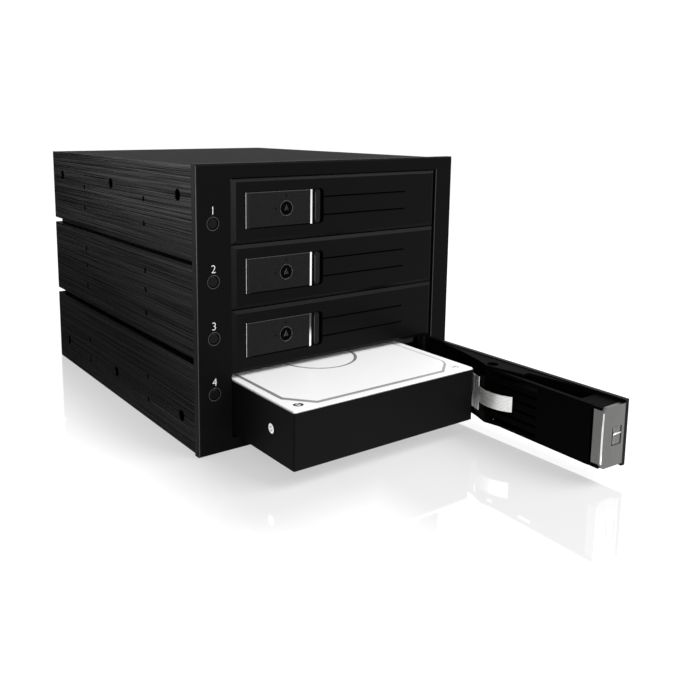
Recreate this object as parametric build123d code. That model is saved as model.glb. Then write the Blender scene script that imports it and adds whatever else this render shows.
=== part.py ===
from build123d import *
import math
import os

# Hot swap drive cage: four hinged doors, one above the other, in a case that fills three
# half-height bays. The lowest door stands open and a drive is half way out of its bay.
# Millimetres, +Z up, doors towards -Y. Pieces are drawn with the bezel's face at y = 0 and
# moved by FRONT at the end, so the origin lies under the middle of the case.

# Drives that the cage is built around, one standing in the lowest bay
DRIVE_WIDTH = 101.6
DRIVE_LENGTH = 147.0
DRIVE_HEIGHT = 25.4
BAYS = 4

# Room about the drives, which sets the size of the opening and the case
BAY_SPACE = 3.525
DRIVE_INSET = 0.6
HINGE_ROOM = 18.5
DOOR_ROOM = 22.0
PLUG_ROOM = 3.3
BACK_ROOM = 14.0
SILL = 5.8
HEAD = 5.5
LAMP_STRIP = 15.5
RIGHT_STRIP = 10.0
PITCH = DRIVE_HEIGHT + BAY_SPACE
OPENING_HEIGHT = BAYS * PITCH
CASE_WIDTH = LAMP_STRIP + DRIVE_INSET + DRIVE_WIDTH + HINGE_ROOM + RIGHT_STRIP
CASE_HEIGHT = SILL + OPENING_HEIGHT + HEAD
CASE_DEPTH = DOOR_ROOM + DRIVE_LENGTH + PLUG_ROOM + BACK_ROOM
CASE_SIDE = CASE_WIDTH / 2
FRONT = -CASE_DEPTH / 2

# Bezel, its opening and the collar behind it
BEZEL_OVERHANG = 1.2
BEZEL_RISE = 0.8
BEZEL_THICKNESS = 4.0
BEZEL_EDGE = 0.9
OPENING_LEFT = LAMP_STRIP - CASE_SIDE
OPENING_RIGHT = CASE_SIDE - RIGHT_STRIP
OPENING_TOP = SILL + OPENING_HEIGHT
COLLAR_WALL = 1.2
COLLAR_DEPTH = 13.2

# Sheets of the case
SIDE_WALL = 1.5
SHEET = 1.2

# Mounting channels and holes in the sides, as on half-height bay devices
CHANNEL_TOPS = (43.5, 87.3)
CHANNEL_HEIGHT = 2.9
CHANNEL_DEPTH = 4.0
UNIT_BOTTOMS = (0.0, 43.5, 87.3)
MOUNT_ROWS = (10.0, 21.8)
EXTRA_ROW = 74.5
MOUNT_FIRST_Y = 55.2
MOUNT_SPACING = 79.25
MOUNT_HOLE = 1.3
SIDE_SCREW_YS = (19.1, 95.4, CASE_DEPTH - 16.1)
SIDE_SCREW_INSET = 13.3
SCREW_WELL = 2.65
SCREW_HEAD = 2.4
SCREW_SHANK = 1.2
SCREW_BORE = 1.25
SCREW_LENGTH = 3.4
SCREW_RECESS = 0.3
FLANGE_HEIGHT = 16.0
FLANGE_RELIEF = 2.2

# Doors
DOOR_GAP = 0.5
DOOR_HALF = (PITCH - DOOR_GAP) / 2
DOOR_SIDE_GAP = 0.45
FACE_THICKNESS = 3.0
THIN_FACE = 2.0
THIN_START = 14.0
THIN_END = 42.0
BEVEL_DEPTH = 0.8
EDGE_BEVEL = 1.6
END_BEVEL = 2.2
HINGE_INSET = 2.9
BARREL_RADIUS = 2.6
HINGE_ROD = 1.0
HINGE_BORE = 1.05
ROD_SEAT = 3.0
ROD_SEAT_PLAY = 0.1
OPEN_ANGLE = 90

# Moulding behind the face of a door, as distances from the hinge and behind the face
FRAME_HALF_HEIGHT = DOOR_HALF - 0.36
FRAME_FLANGE = 0.9
FLANGE_START = 6.0
SWELL_MIDDLE = (30.0, 6.6)
SWELL_END = (46.0, 11.1)
CREST = (53.5, 14.0)
STEP = 72.0
STEP_DEPTH = 10.6
LEDGE_DEPTH = 7.2
LEDGE_END = 98.0
FLANGE_HOLE = (54.0, 10.2)
FLANGE_HOLE_RADIUS = 2.7
BLOCK_SHORT = 6.95
BLOCK_DEPTH = 16.2
BACK_WALL = 2.0
WEB_FOOT = (44.2, 10.0)
WEB_WALL = 1.2
SEAT_FOOT = (47.9, 14.54)
SEAT_CROWN = (51.6, 15.9)
SEAT_BACK = 1.0
SEAT_ROOT = 11.2
SEAT_HALF_HEIGHT = 8.6
POCKET_HALF_HEIGHT = 8.4
POCKET_WALL = 1.0
LOUVRES = 6
LOUVRE_PITCH = 4.2
LOUVRE_GAP = 1.2
OUTER_LOUVRE_GAP = 2.2
LOUVRE_START = 55.2
LOUVRE_END = 83.4

# End cap, the moulding's cheeks above and below it, and the tongue
CAP_LENGTH = 5.75
CAP_DEPTH = 15.7
CAP_HALF_HEIGHT = 11.5
CAP_END_LENGTH = 1.95
CAP_END_DEPTH = 16.3
CAP_END_HALF_HEIGHT = 12.9
CAP_ROUND = 2.0
CHEEK_THICKNESS = 1.2
CHEEK_PLAY = 0.15
CHEEK_LENGTH = 6.4
TONGUE_FRONT = 4.9
TONGUE_DEPTH = 5.4
TONGUE_HALF_HEIGHT = 3.7
TONGUE_TAIL = 13.0
TONGUE_PLAY = 0.2
TONGUE_SLOPE = 1.4
TONGUE_STROKE = 2.3
TONGUE_SHY = 0.3

# Latch lever, its trim, and the lock in it
LATCH_INSET = 6.9
LATCH_LENGTH = 42.6
LATCH_HALF_HEIGHT = 8.1
LATCH_CORNER = 2.0
LEVER_GAP = 0.3
LEVER_THICKNESS = 2.6
LEVER_CORNER = 1.6
LEVER_EDGE = 0.35
RECESS_LENGTH = 1.7
GRIP_LENGTH = 3.2
GRIP_GROOVE = 1.7
GRIP_GROOVE_DEPTH = 1.2
LEVER_SHY = 0.15
LEVER_SIDE_GAP = 0.25
FINGER_PLAY = 1.3
FINGER_TIP_PLAY = 0.5
KNUCKLE = 2.2
TRUNNION = 0.9
TRUNNION_LENGTH = 1.7
TRUNNION_BORE = 1.0
FINGER_THICKNESS = 1.6
FINGER_REACH = 6.2
FINGER_HALF_HEIGHT = 1.8
TRIM_THICKNESS = 0.4
TRIM_EDGE = 0.85
TRIM_STRIP = 1.0
TRIM_RISE = 0.15
LOCK_FROM_LATCH = 20.8
LOCK_RADIUS = 3.1
LOCK_RIM = 3.6
LOCK_RIM_THICKNESS = 0.55
LOCK_PLAY = 0.1
LOCK_BOSS = 4.7
LOCK_LENGTH = 8.6
LOCK_FLANGE = 3.9
LOCK_FLANGE_THICKNESS = 0.8
KEYWAY_WIDTH = 0.9
KEYWAY_HEIGHT = 3.6
KEYWAY_DEPTH = 3.0
GROOVE_INSET = 18.2
GROOVE_HEIGHT = 4.2
GROOVE_WIDTH = 0.7
GROOVE_DEPTH = 0.8

# Leaf spring on the door, as distances from the hinge and behind the face
SPRING_SHEET = 0.4
SPRING_BASE_HALF = 8.05
SPRING_STRIP_HALF = 3.6
SPRING_PEAK = (58.7, 18.5)
SPRING_TIP = 70.3
SPRING_TIP_GAP = 0.3

# Lamps in the bezel
LAMP_INSET = 6.8
LAMP_DROP = 18.9
LAMP_PITCH = 25.0
LAMP_RADIUS = 2.5
LAMP_PLAY = 0.05
LENS_EDGE = 0.5
LENS_SHY = 0.1
PIPE_RADIUS = 1.6
PIPE_END = 6.6
PIPE_TAPER = 1.0
LAMP_BOARD_Y = 8.0
LAMP_BOARD_THICKNESS = 1.6
LAMP_BOARD_GAP = 0.6
LAMP_CHIP = 1.0
CHIP_GAP = 0.2
LAMP_BOARD_END = 10.0

# Bay walls, rails and backplane
BAY_WALL = 1.2
BAY_PLAY = 0.4
BAY_WALL_FRONT = 17.6
TAB_FRONT = 9.6
TAB_REACH = 13.8
TAB_LOW = 8.9
TAB_RISE = 1.5
TAB_GAP = 0.3
RAIL_WIDTH = 6.2
RAIL_THICKNESS = 1.6
RAIL_PLAY = 0.25
RAIL_FRONT = 24.0
RAIL_END_GAP = 7.8
WALL_SLOT_LENGTH = 30.0
WALL_SLOT_HEIGHT = 8.0
WALL_SLOTS = 3
WALL_SLOT_PITCH = 42.0
WALL_SLOT_FIRST = 50.0
BOARD_Y = CASE_DEPTH - BACK_ROOM
BOARD_THICKNESS = 1.6
BOARD_MARGIN = 4.0
SOCKET_LENGTH = 6.9
SOCKET_WIDTH = 38.0
SOCKET_HEIGHT = 5.4
SOCKET_INSET = 37.0
SLOT_WIDTH = 33.0
SLOT_HEIGHT = 2.6
SLOT_DEPTH = 5.0
DATA_INSET = 18.1
DATA_WIDTH = 16.0
DATA_HEIGHT = 6.4
DATA_LENGTH = 9.5
POWER_INSET = 33.1
POWER_WIDTH = 11.0
POWER_HEIGHT = 23.0
POWER_LENGTH = 10.0
POWER_SPREAD = 27.5
SHELL = 1.1

# Rear panel and fan
FAN_SIZE = 80.0
FAN_DEPTH = 15.0
FAN_CORNER = 4.0
FAN_HOLES = FAN_SIZE - 8.5
FAN_BORE = FAN_SIZE / 2 - 2.0
FAN_HUB = FAN_SIZE / 5
FAN_BLADES = 7
FAN_BLADE_RADIUS = FAN_BORE - 1.5
FAN_BLADE_SHEET = 1.2
FAN_BLADE_CHORD = 15.0
FAN_BLADE_PITCH = 32
FAN_INSET = FAN_SIZE / 2 + 19.1
FAN_WALL = 1.6
FAN_FLANGE = 3.0
FAN_SPIDER = 2.5
FAN_ARM_WIDTH = 4.0
FAN_SHAFT = 1.5
FAN_SHAFT_BORE = 1.7
FAN_SHAFT_PLAY = 0.3
FAN_ROTOR_PLAY = 0.5
FAN_ROTOR_BACK = 1.0
FAN_SCREW = 2.0
FAN_SCREW_BORE = 2.15
FAN_SCREW_HEAD = 3.6
FAN_HEAD_HEIGHT = 1.8
GUARD_WIRE = 1.0
GUARD_BAR = 1.5
GUARD_RINGS = [FAN_BORE - step for step in (26.0, 18.0, 10.0, 2.0)]
WINDOW_INSET = 7.1
WINDOW_WIDTH = 33.0
WINDOW_MARGIN = 14.0
REAR_TAB = 9.0
REAR_SCREW_X = 58.0
REAR_SCREW_HEAD = 2.6

# Drive in the lowest bay
DRIVE_OUT = 47.2
DRIVE_CORNER = 0.8
LID_SHEET = 0.8
LID_RISE = 0.4
LID_INSET = 0.25
LID_SCREW = 2.3
LID_SCREW_PLAY = 0.15
LID_SCREW_RIM = 1.4
LID_SCREW_INSET = 6.3
LID_MIDDLE_SCREW = 80.85
PANEL_LEFT = 4.9
PANEL_RIGHT = 5.5
PANEL_FRONT = 4.4
PANEL_BACK = 5.0
PANEL_FRONT_CUT = (9.5, 10.9)
PANEL_STEP = (7.4, 12.0)
PANEL_STEP_END = (16.4, 15.7)
PANEL_BACK_CUT = (8.1, 11.0)
SPINDLE_FROM_FRONT = 54.7
SPINDLE_RADIUS = 19.8
SPINDLE_GROOVE = 1.6
DRIVE_SCREW_YS = (16.9, 76.9, 118.5)
DRIVE_SCREW_LEVEL = 12.6
DRIVE_SCREW_RADIUS = 2.2
DRIVE_SCREW_DEPTH = 2.4
DRIVE_SCREW_PLAY = 0.05
DRIVE_SCREW_SHY = 0.15
DRIVE_SCREW_SOCKET = 1.1
DRIVE_BOARD_THICKNESS = 1.0
DRIVE_BOARD_LENGTH = 96.0
DRIVE_BOARD_MARGIN = 7.0
DRIVE_BOARD_PLAY = 0.4
NOTCH_WIDTH = 42.0
NOTCH_HEIGHT = 8.0
NOTCH_DEPTH = 4.2
NOTCH_LEVEL = 6.5
PLUG_WIDTH = 31.5
PLUG_THICKNESS = 1.2

# Worked out from the sizes above
INNER_SIDE = CASE_SIDE - SIDE_WALL
HINGE_X = OPENING_RIGHT - HINGE_INSET
HINGE_Y = BARREL_RADIUS
DOOR_LEFT = OPENING_LEFT + DOOR_SIDE_GAP
SWING_RADIUS = HINGE_X - DOOR_LEFT
BLOCK_END = SWING_RADIUS - BLOCK_SHORT
CAP_START = SWING_RADIUS - CAP_LENGTH
CAP_END_START = SWING_RADIUS - CAP_END_LENGTH
LATCH_LEFT = OPENING_LEFT + LATCH_INSET
LATCH_RIGHT = LATCH_LEFT + LATCH_LENGTH
KNUCKLE_X = LATCH_LEFT + LEVER_GAP + KNUCKLE
KNUCKLE_Y = LEVER_SHY + KNUCKLE
LEVER_HALF = LATCH_HALF_HEIGHT - LEVER_SIDE_GAP
LEVER_BACK = LEVER_SHY + LEVER_THICKNESS
LEVER_RIGHT = LATCH_RIGHT - RECESS_LENGTH
TRIM_RIGHT = LEVER_RIGHT - GRIP_LENGTH - GRIP_GROOVE
LOCK_X = LATCH_RIGHT - LOCK_FROM_LATCH
LAMP_X = LAMP_INSET - CASE_SIDE
LAMP_TOP = OPENING_TOP - LAMP_DROP
LAMP_BOARD_RIGHT = OPENING_LEFT - COLLAR_WALL - LAMP_BOARD_GAP
DRIVE_LEFT = OPENING_LEFT + DRIVE_INSET
DRIVE_RIGHT = DRIVE_LEFT + DRIVE_WIDTH
SOCKET_X = DRIVE_LEFT + SOCKET_INSET
SOCKET_FRONT = BOARD_Y - SOCKET_LENGTH
DATA_X = DATA_INSET - CASE_SIDE
POWER_X = POWER_INSET - CASE_SIDE
WINDOW_LEFT = WINDOW_INSET - CASE_SIDE
FAN_X = CASE_SIDE - FAN_INSET
FAN_Z = CASE_HEIGHT / 2


def slab(x0, x1, y0, y1, z0, z1):
    """A block between two opposite corners."""
    middle = Pos((x0 + x1) / 2, (y0 + y1) / 2, (z0 + z1) / 2)
    return middle * Box(x1 - x0, y1 - y0, z1 - z0)


def post(x, y, z0, z1, radius):
    """An upright cylinder."""
    return Pos(x, y, (z0 + z1) / 2) * Cylinder(radius, z1 - z0)


def pin_y(x, z, y0, y1, radius):
    """A cylinder from front to back."""
    return Pos(x, (y0 + y1) / 2, z) * Rot(90, 0, 0) * Cylinder(radius, y1 - y0)


def pin_x(y, z, x0, x1, radius):
    """A cylinder from side to side."""
    return Pos((x0 + x1) / 2, y, z) * Rot(0, 90, 0) * Cylinder(radius, x1 - x0)


def upright(outline, z0, z1):
    """A plan outline raised from z0 to z1."""
    return extrude(Pos(0, 0, z0) * make_face(outline), z1 - z0)


def backwards(sketch, y0, y1):
    """A front view sketch drawn back from y0 to y1."""
    return extrude(Plane.XZ.offset(-y0) * sketch, y0 - y1)


def sideways(sketch, x0, x1):
    """A side view sketch (y, z) drawn out from x0 to x1."""
    return extrude(Plane.YZ.offset(x0) * sketch, x1 - x0)


def bay_level(bay):
    """Height of the middle of a door and its bay, counted from the top."""
    return OPENING_TOP - PITCH * (bay - 0.5)


# Bezel
def strike_notches():
    """Slots in the left jamb, behind each door's tongue."""
    half = TONGUE_HALF_HEIGHT + TONGUE_PLAY
    back = TONGUE_FRONT + TONGUE_DEPTH + TONGUE_PLAY
    notches = []
    for bay in range(1, BAYS + 1):
        level = bay_level(bay)
        left = OPENING_LEFT - COLLAR_WALL
        front = TONGUE_FRONT - TONGUE_PLAY
        notches.append(slab(left, OPENING_LEFT, front, back, level - half, level + half))
    return notches


def bezel():
    side = CASE_SIDE + BEZEL_OVERHANG
    plate = slab(-side, side, 0, BEZEL_THICKNESS, 0, CASE_HEIGHT + BEZEL_RISE)
    front_edges = plate.faces().sort_by(Axis.Y)[0].edges()
    plate = fillet(front_edges, BEZEL_EDGE)
    collar = slab(OPENING_LEFT - COLLAR_WALL, OPENING_RIGHT + COLLAR_WALL, BEZEL_THICKNESS,
                  BEZEL_THICKNESS + COLLAR_DEPTH, SILL - COLLAR_WALL, OPENING_TOP + COLLAR_WALL)
    opening = slab(OPENING_LEFT, OPENING_RIGHT, -1, BEZEL_THICKNESS + COLLAR_DEPTH + 1, SILL, OPENING_TOP)
    rod_seat = post(HINGE_X, HINGE_Y, SILL - ROD_SEAT, OPENING_TOP + ROD_SEAT, HINGE_BORE)
    frame = plate + collar - opening - rod_seat
    for z in lamp_levels():
        frame -= pin_y(LAMP_X, z, -1, BEZEL_THICKNESS + 1, LAMP_RADIUS)
    return frame - strike_notches()


def hinge_rod():
    low = SILL - ROD_SEAT + ROD_SEAT_PLAY
    return post(HINGE_X, HINGE_Y, low, OPENING_TOP + ROD_SEAT - ROD_SEAT_PLAY, HINGE_ROD)


# Case
def side_panel():
    """Left side: an extruded wall with two channels folded into it, and its screw holes."""
    section = Pos(-CASE_SIDE + SIDE_WALL / 2, CASE_HEIGHT / 2) * Rectangle(SIDE_WALL, CASE_HEIGHT)
    for top in CHANNEL_TOPS:
        middle = top - CHANNEL_HEIGHT / 2
        outer_depth = CHANNEL_DEPTH + SIDE_WALL
        outer_height = CHANNEL_HEIGHT + 2 * SIDE_WALL
        section += Pos(-CASE_SIDE + outer_depth / 2, middle) * Rectangle(outer_depth, outer_height)
    for top in CHANNEL_TOPS:
        middle = top - CHANNEL_HEIGHT / 2
        section -= Pos(-CASE_SIDE + CHANNEL_DEPTH / 2, middle) * Rectangle(CHANNEL_DEPTH, CHANNEL_HEIGHT)
    panel = backwards(section, BEZEL_THICKNESS, CASE_DEPTH)
    for y in SIDE_SCREW_YS:
        for z in side_screw_levels():
            panel -= pin_x(y, z, -CASE_SIDE - 1, -INNER_SIDE + 1, SCREW_WELL)
    for y, z in mount_holes():
        panel -= pin_x(y, z, -CASE_SIDE - 1, -INNER_SIDE + 1, MOUNT_HOLE)
    return panel


def side_screw_levels():
    return (SIDE_SCREW_INSET, CASE_HEIGHT - SIDE_SCREW_INSET)


def mount_holes():
    """Places (y, z) of the tapped holes in one side."""
    levels = [bottom + row for bottom in UNIT_BOTTOMS for row in MOUNT_ROWS] + [EXTRA_ROW]
    return [(y, z) for y in (MOUNT_FIRST_Y, MOUNT_FIRST_Y + MOUNT_SPACING) for z in levels]


def cover():
    """Bottom cover: a plate with side flanges that take the screws, and a rear tab."""
    tray = slab(-INNER_SIDE, INNER_SIDE, BEZEL_THICKNESS, CASE_DEPTH, 0, FLANGE_HEIGHT)
    tray -= slab(-INNER_SIDE + SHEET, INNER_SIDE - SHEET, 0, CASE_DEPTH + 1, SHEET, FLANGE_HEIGHT + 1)
    tab_back = CASE_DEPTH - SHEET
    tray += slab(-INNER_SIDE + SHEET, INNER_SIDE - SHEET, tab_back - SHEET, tab_back, 0, REAR_TAB)
    for y in SIDE_SCREW_YS:
        tray -= pin_x(y, SIDE_SCREW_INSET, -CASE_SIDE, CASE_SIDE, SCREW_BORE)
    for y, z in mount_holes():
        if z < FLANGE_HEIGHT:
            tray -= pin_x(y, z, -CASE_SIDE, CASE_SIDE, FLANGE_RELIEF)
    for x in (-REAR_SCREW_X, REAR_SCREW_X):
        tray -= pin_y(x, REAR_TAB / 2 + SHEET / 2, tab_back - 2 * SHEET, CASE_DEPTH, SCREW_BORE)
    return tray


def turned_over(piece):
    """The same piece for the top of the case."""
    return Pos(0, 0, CASE_HEIGHT) * mirror(piece, Plane.XY)


def screw_x(y, z, side):
    """A countersunk side screw whose head lies just under the surface."""
    head_out = CASE_SIDE - SCREW_RECESS
    head = pin_x(y, z, INNER_SIDE, head_out, SCREW_HEAD)
    shank = pin_x(y, z, INNER_SIDE - SCREW_LENGTH, INNER_SIDE, SCREW_SHANK)
    screw = head + shank
    return screw if side > 0 else mirror(screw, Plane.YZ)


def side_screws():
    places = [(y, z, side) for y in SIDE_SCREW_YS for z in side_screw_levels() for side in (-1, 1)]
    return [screw_x(y, z, side) for y, z, side in places]


def rear_panel():
    """Sheet with the fan's opening, its screw holes and the window over the sockets."""
    back = CASE_DEPTH
    side = INNER_SIDE - SHEET
    panel = slab(-side, side, back - SHEET, back, SHEET, CASE_HEIGHT - SHEET)
    for top in CHANNEL_TOPS:
        low = top - CHANNEL_HEIGHT - SIDE_WALL
        for x0, x1 in ((-side, -CASE_SIDE + CHANNEL_DEPTH + SIDE_WALL),
                       (CASE_SIDE - CHANNEL_DEPTH - SIDE_WALL, side)):
            panel -= slab(x0, x1, back - 2 * SHEET, back + SHEET, low, top + SIDE_WALL)
    panel -= pin_y(FAN_X, FAN_Z, back - 2 * SHEET, back + SHEET, FAN_BORE)
    for x, z in fan_holes():
        panel -= pin_y(x, z, back - 2 * SHEET, back + SHEET, FAN_SCREW_BORE)
    panel -= slab(WINDOW_LEFT, WINDOW_LEFT + WINDOW_WIDTH, back - 2 * SHEET, back + SHEET,
                  WINDOW_MARGIN, CASE_HEIGHT - WINDOW_MARGIN)
    for x, z in rear_screw_places():
        panel -= pin_y(x, z, back - 2 * SHEET, back + SHEET, SCREW_BORE)
    return panel


def rear_screw_places():
    low = REAR_TAB / 2 + SHEET / 2
    return [(x, z) for x in (-REAR_SCREW_X, REAR_SCREW_X) for z in (low, CASE_HEIGHT - low)]


def rear_screws():
    screws = []
    for x, z in rear_screw_places():
        shank = pin_y(x, z, CASE_DEPTH - SCREW_LENGTH, CASE_DEPTH, SCREW_SHANK)
        screws.append(shank + pin_y(x, z, CASE_DEPTH, CASE_DEPTH + SHEET, REAR_SCREW_HEAD))
    return screws


# Bays
def bay_wall(x0, x1):
    """Upright wall between the covers, with air slots between the rails."""
    wall = slab(x0, x1, BAY_WALL_FRONT, BOARD_Y, SHEET, CASE_HEIGHT - SHEET)
    for bay in range(1, BAYS + 1):
        for step in range(WALL_SLOTS):
            y = WALL_SLOT_FIRST + step * WALL_SLOT_PITCH
            slot = Pos(y, bay_level(bay)) * SlotOverall(WALL_SLOT_LENGTH, WALL_SLOT_HEIGHT)
            wall -= sideways(slot, x0 - 1, x1 + 1)
    return wall


def right_bay_wall():
    """Bay wall with a tab above each bay, brought forward and bent outwards behind the doors."""
    inner = DRIVE_RIGHT + BAY_PLAY
    wall = bay_wall(inner, inner + BAY_WALL)
    for bay in range(1, BAYS + 1):
        low = bay_level(bay) + TAB_LOW
        high = min(bay_level(bay) + PITCH / 2 + TAB_RISE, OPENING_TOP - TAB_GAP)
        wall += slab(inner, inner + BAY_WALL, TAB_FRONT, BAY_WALL_FRONT, low, high)
        wall += slab(inner, inner + BAY_WALL + TAB_REACH, TAB_FRONT, TAB_FRONT + BAY_WALL, low, high)
    return wall


def bay_rails(bay):
    """The two rails that a drive slides on."""
    top = bay_level(bay) - DRIVE_HEIGHT / 2 - RAIL_PLAY
    low = top - RAIL_THICKNESS
    left = DRIVE_LEFT - BAY_PLAY
    right = DRIVE_RIGHT + BAY_PLAY
    rails = []
    for x0, x1 in ((left, left + RAIL_WIDTH), (right - RAIL_WIDTH, right)):
        rail = slab(x0, x1, RAIL_FRONT, BOARD_Y - RAIL_END_GAP, low, top)
        lead = rail.faces().sort_by(Axis.Y)[0].edges().sort_by(Axis.Z)[-1]
        rails.append(chamfer(lead, RAIL_THICKNESS / 2))
    return rails


def backplane():
    side = INNER_SIDE - BOARD_MARGIN
    low = SHEET + BOARD_MARGIN
    board = slab(-side, side, BOARD_Y, BOARD_Y + BOARD_THICKNESS, low, CASE_HEIGHT - low)
    for bay in range(1, BAYS):
        level = bay_level(bay) - PITCH / 2
        vent = Pos((SOCKET_X + DRIVE_RIGHT) / 2, level) * SlotOverall(WALL_SLOT_LENGTH, WALL_SLOT_HEIGHT)
        board -= backwards(vent, BOARD_Y - 1, BOARD_Y + BOARD_THICKNESS + 1)
    return board


def socket_level(bay):
    return bay_level(bay) - DRIVE_HEIGHT / 2 + NOTCH_LEVEL


def drive_socket(bay):
    """The socket that a drive's plug goes into."""
    level = socket_level(bay)
    half = SOCKET_WIDTH / 2
    body = slab(SOCKET_X - half, SOCKET_X + half, SOCKET_FRONT, BOARD_Y,
                level - SOCKET_HEIGHT / 2, level + SOCKET_HEIGHT / 2)
    return body - slab(SOCKET_X - SLOT_WIDTH / 2, SOCKET_X + SLOT_WIDTH / 2, SOCKET_FRONT - 1,
                       SOCKET_FRONT + SLOT_DEPTH, level - SLOT_HEIGHT / 2, level + SLOT_HEIGHT / 2)


def rear_socket(x, z, width, height, length):
    """A shrouded socket on the back of the backplane."""
    y0 = BOARD_Y + BOARD_THICKNESS
    y1 = y0 + length
    body = slab(x - width / 2, x + width / 2, y0, y1, z - height / 2, z + height / 2)
    inside = slab(x - width / 2 + SHELL, x + width / 2 - SHELL, y0 + SHELL, y1 + 1,
                  z - height / 2 + SHELL, z + height / 2 - SHELL)
    tongue = slab(x - width / 2 + 2 * SHELL, x + width / 2 - 2 * SHELL, y0, y1 - SHELL,
                  z - SHELL / 2, z + SHELL / 2)
    return body - inside + tongue


def data_sockets():
    return [rear_socket(DATA_X, bay_level(bay), DATA_WIDTH, DATA_HEIGHT, DATA_LENGTH)
            for bay in range(1, BAYS + 1)]


def power_sockets():
    levels = (CASE_HEIGHT / 2 - POWER_SPREAD, CASE_HEIGHT / 2 + POWER_SPREAD)
    return [rear_socket(POWER_X, z, POWER_WIDTH, POWER_HEIGHT, POWER_LENGTH) for z in levels]


# Lamps
def lamp_levels():
    return [LAMP_TOP - lamp * LAMP_PITCH for lamp in range(BAYS)]


def lamp_pipe(z):
    """A clear lens that narrows to a light pipe, turned about its own line."""
    lens = LAMP_RADIUS - LAMP_PLAY
    half_section = Polyline((0, LENS_SHY), (lens - LENS_EDGE, LENS_SHY), (lens, LENS_EDGE),
                            (lens, BEZEL_THICKNESS), (PIPE_RADIUS, BEZEL_THICKNESS + PIPE_TAPER),
                            (PIPE_RADIUS, PIPE_END), (0, PIPE_END), close=True)
    return Pos(LAMP_X, 0, z) * revolve(make_face(half_section), Axis.Y)


def lamp_board():
    return slab(LAMP_X - LAMP_CHIP, LAMP_BOARD_RIGHT, LAMP_BOARD_Y, LAMP_BOARD_Y + LAMP_BOARD_THICKNESS,
                lamp_levels()[-1] - LAMP_BOARD_END, LAMP_TOP + LAMP_BOARD_END)


def lamp_chips():
    return [slab(LAMP_X - LAMP_CHIP, LAMP_X + LAMP_CHIP, PIPE_END + CHIP_GAP, LAMP_BOARD_Y,
                 z - LAMP_CHIP, z + LAMP_CHIP) for z in lamp_levels()]


# Fan
def fan_holes():
    half = FAN_HOLES / 2
    return [(FAN_X + i * half, FAN_Z + j * half) for i in (-1, 1) for j in (-1, 1)]


def fan_housing():
    """Square frame with a round throat, four corner posts and a spider for the hub."""
    back = CASE_DEPTH
    outline = Pos(FAN_X, FAN_Z) * RectangleRounded(FAN_SIZE, FAN_SIZE, FAN_CORNER)
    housing = backwards(outline, back, back + FAN_DEPTH)
    waist = backwards(outline, back + FAN_FLANGE, back + FAN_DEPTH - FAN_FLANGE)
    core = pin_y(FAN_X, FAN_Z, back, back + FAN_DEPTH, FAN_BORE + FAN_WALL)
    corner_posts = [pin_y(x, z, back, back + FAN_DEPTH, FAN_CORNER) for x, z in fan_holes()]
    housing = housing - waist + (waist & core) + corner_posts
    housing -= pin_y(FAN_X, FAN_Z, back - 1, back + FAN_DEPTH + 1, FAN_BORE)
    hub = pin_y(FAN_X, FAN_Z, back, back + FAN_SPIDER, FAN_HUB)
    for turn in (45, 135):
        arm = Box(2 * FAN_BORE + FAN_WALL, FAN_SPIDER, FAN_ARM_WIDTH)
        hub += Pos(FAN_X, back + FAN_SPIDER / 2, FAN_Z) * Rot(0, turn, 0) * arm
    for x, z in fan_holes():
        housing -= pin_y(x, z, back - 1, back + FAN_DEPTH + 1, FAN_SCREW_BORE)
    return housing + hub - pin_y(FAN_X, FAN_Z, back - 1, back + FAN_SPIDER + 1, FAN_SHAFT_BORE)


def fan_rotor():
    """Hub cup with pitched blades, on a short shaft."""
    y0 = CASE_DEPTH + FAN_SPIDER + FAN_ROTOR_PLAY
    y1 = CASE_DEPTH + FAN_DEPTH - FAN_ROTOR_BACK
    rotor = pin_y(FAN_X, FAN_Z, y0, y1, FAN_HUB)
    rotor += pin_y(FAN_X, FAN_Z, CASE_DEPTH + FAN_SHAFT_PLAY, y0, FAN_SHAFT)
    middle = (y0 + y1) / 2
    root = FAN_HUB - FAN_BLADE_SHEET
    length = FAN_BLADE_RADIUS - root
    for blade in range(FAN_BLADES):
        plate = Box(length, FAN_BLADE_SHEET, FAN_BLADE_CHORD)
        pitched = Pos(root + length / 2, 0, 0) * Rot(FAN_BLADE_PITCH, 0, 0) * plate
        placed = Pos(FAN_X, middle, FAN_Z) * Rot(0, blade * 360 / FAN_BLADES, 0) * pitched
        rotor += placed & slab(-CASE_SIDE, CASE_SIDE, y0, y1, 0, CASE_HEIGHT)
    return rotor


def fan_guard():
    """Wire rings carried by two crossed bars, screwed on at the fan's corners."""
    y = CASE_DEPTH + FAN_DEPTH + GUARD_WIRE
    guard = Part()
    reach = FAN_HOLES / 2 * math.sqrt(2)
    for turn in (45, 135):
        guard += Pos(FAN_X, y, FAN_Z) * Rot(0, turn, 0) * Box(2 * reach, 2 * GUARD_WIRE, 2 * GUARD_BAR)
    for radius in GUARD_RINGS:
        ring = pin_y(FAN_X, FAN_Z, y - GUARD_WIRE, y + GUARD_WIRE, radius + GUARD_WIRE)
        guard += ring - pin_y(FAN_X, FAN_Z, y - 2 * GUARD_WIRE, y + 2 * GUARD_WIRE, radius - GUARD_WIRE)
    for x, z in fan_holes():
        guard += pin_y(x, z, y - GUARD_WIRE, y + GUARD_WIRE, FAN_SCREW_HEAD)
        guard -= pin_y(x, z, y - 2 * GUARD_WIRE, y + 2 * GUARD_WIRE, FAN_SCREW_BORE)
    return guard


def fan_screws():
    y = CASE_DEPTH + FAN_DEPTH + 2 * GUARD_WIRE
    screws = []
    for x, z in fan_holes():
        shank = pin_y(x, z, CASE_DEPTH - 2 * SHEET, y, FAN_SCREW)
        screws.append(shank + pin_y(x, z, y, y + FAN_HEAD_HEIGHT, FAN_SCREW_HEAD))
    return screws


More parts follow.
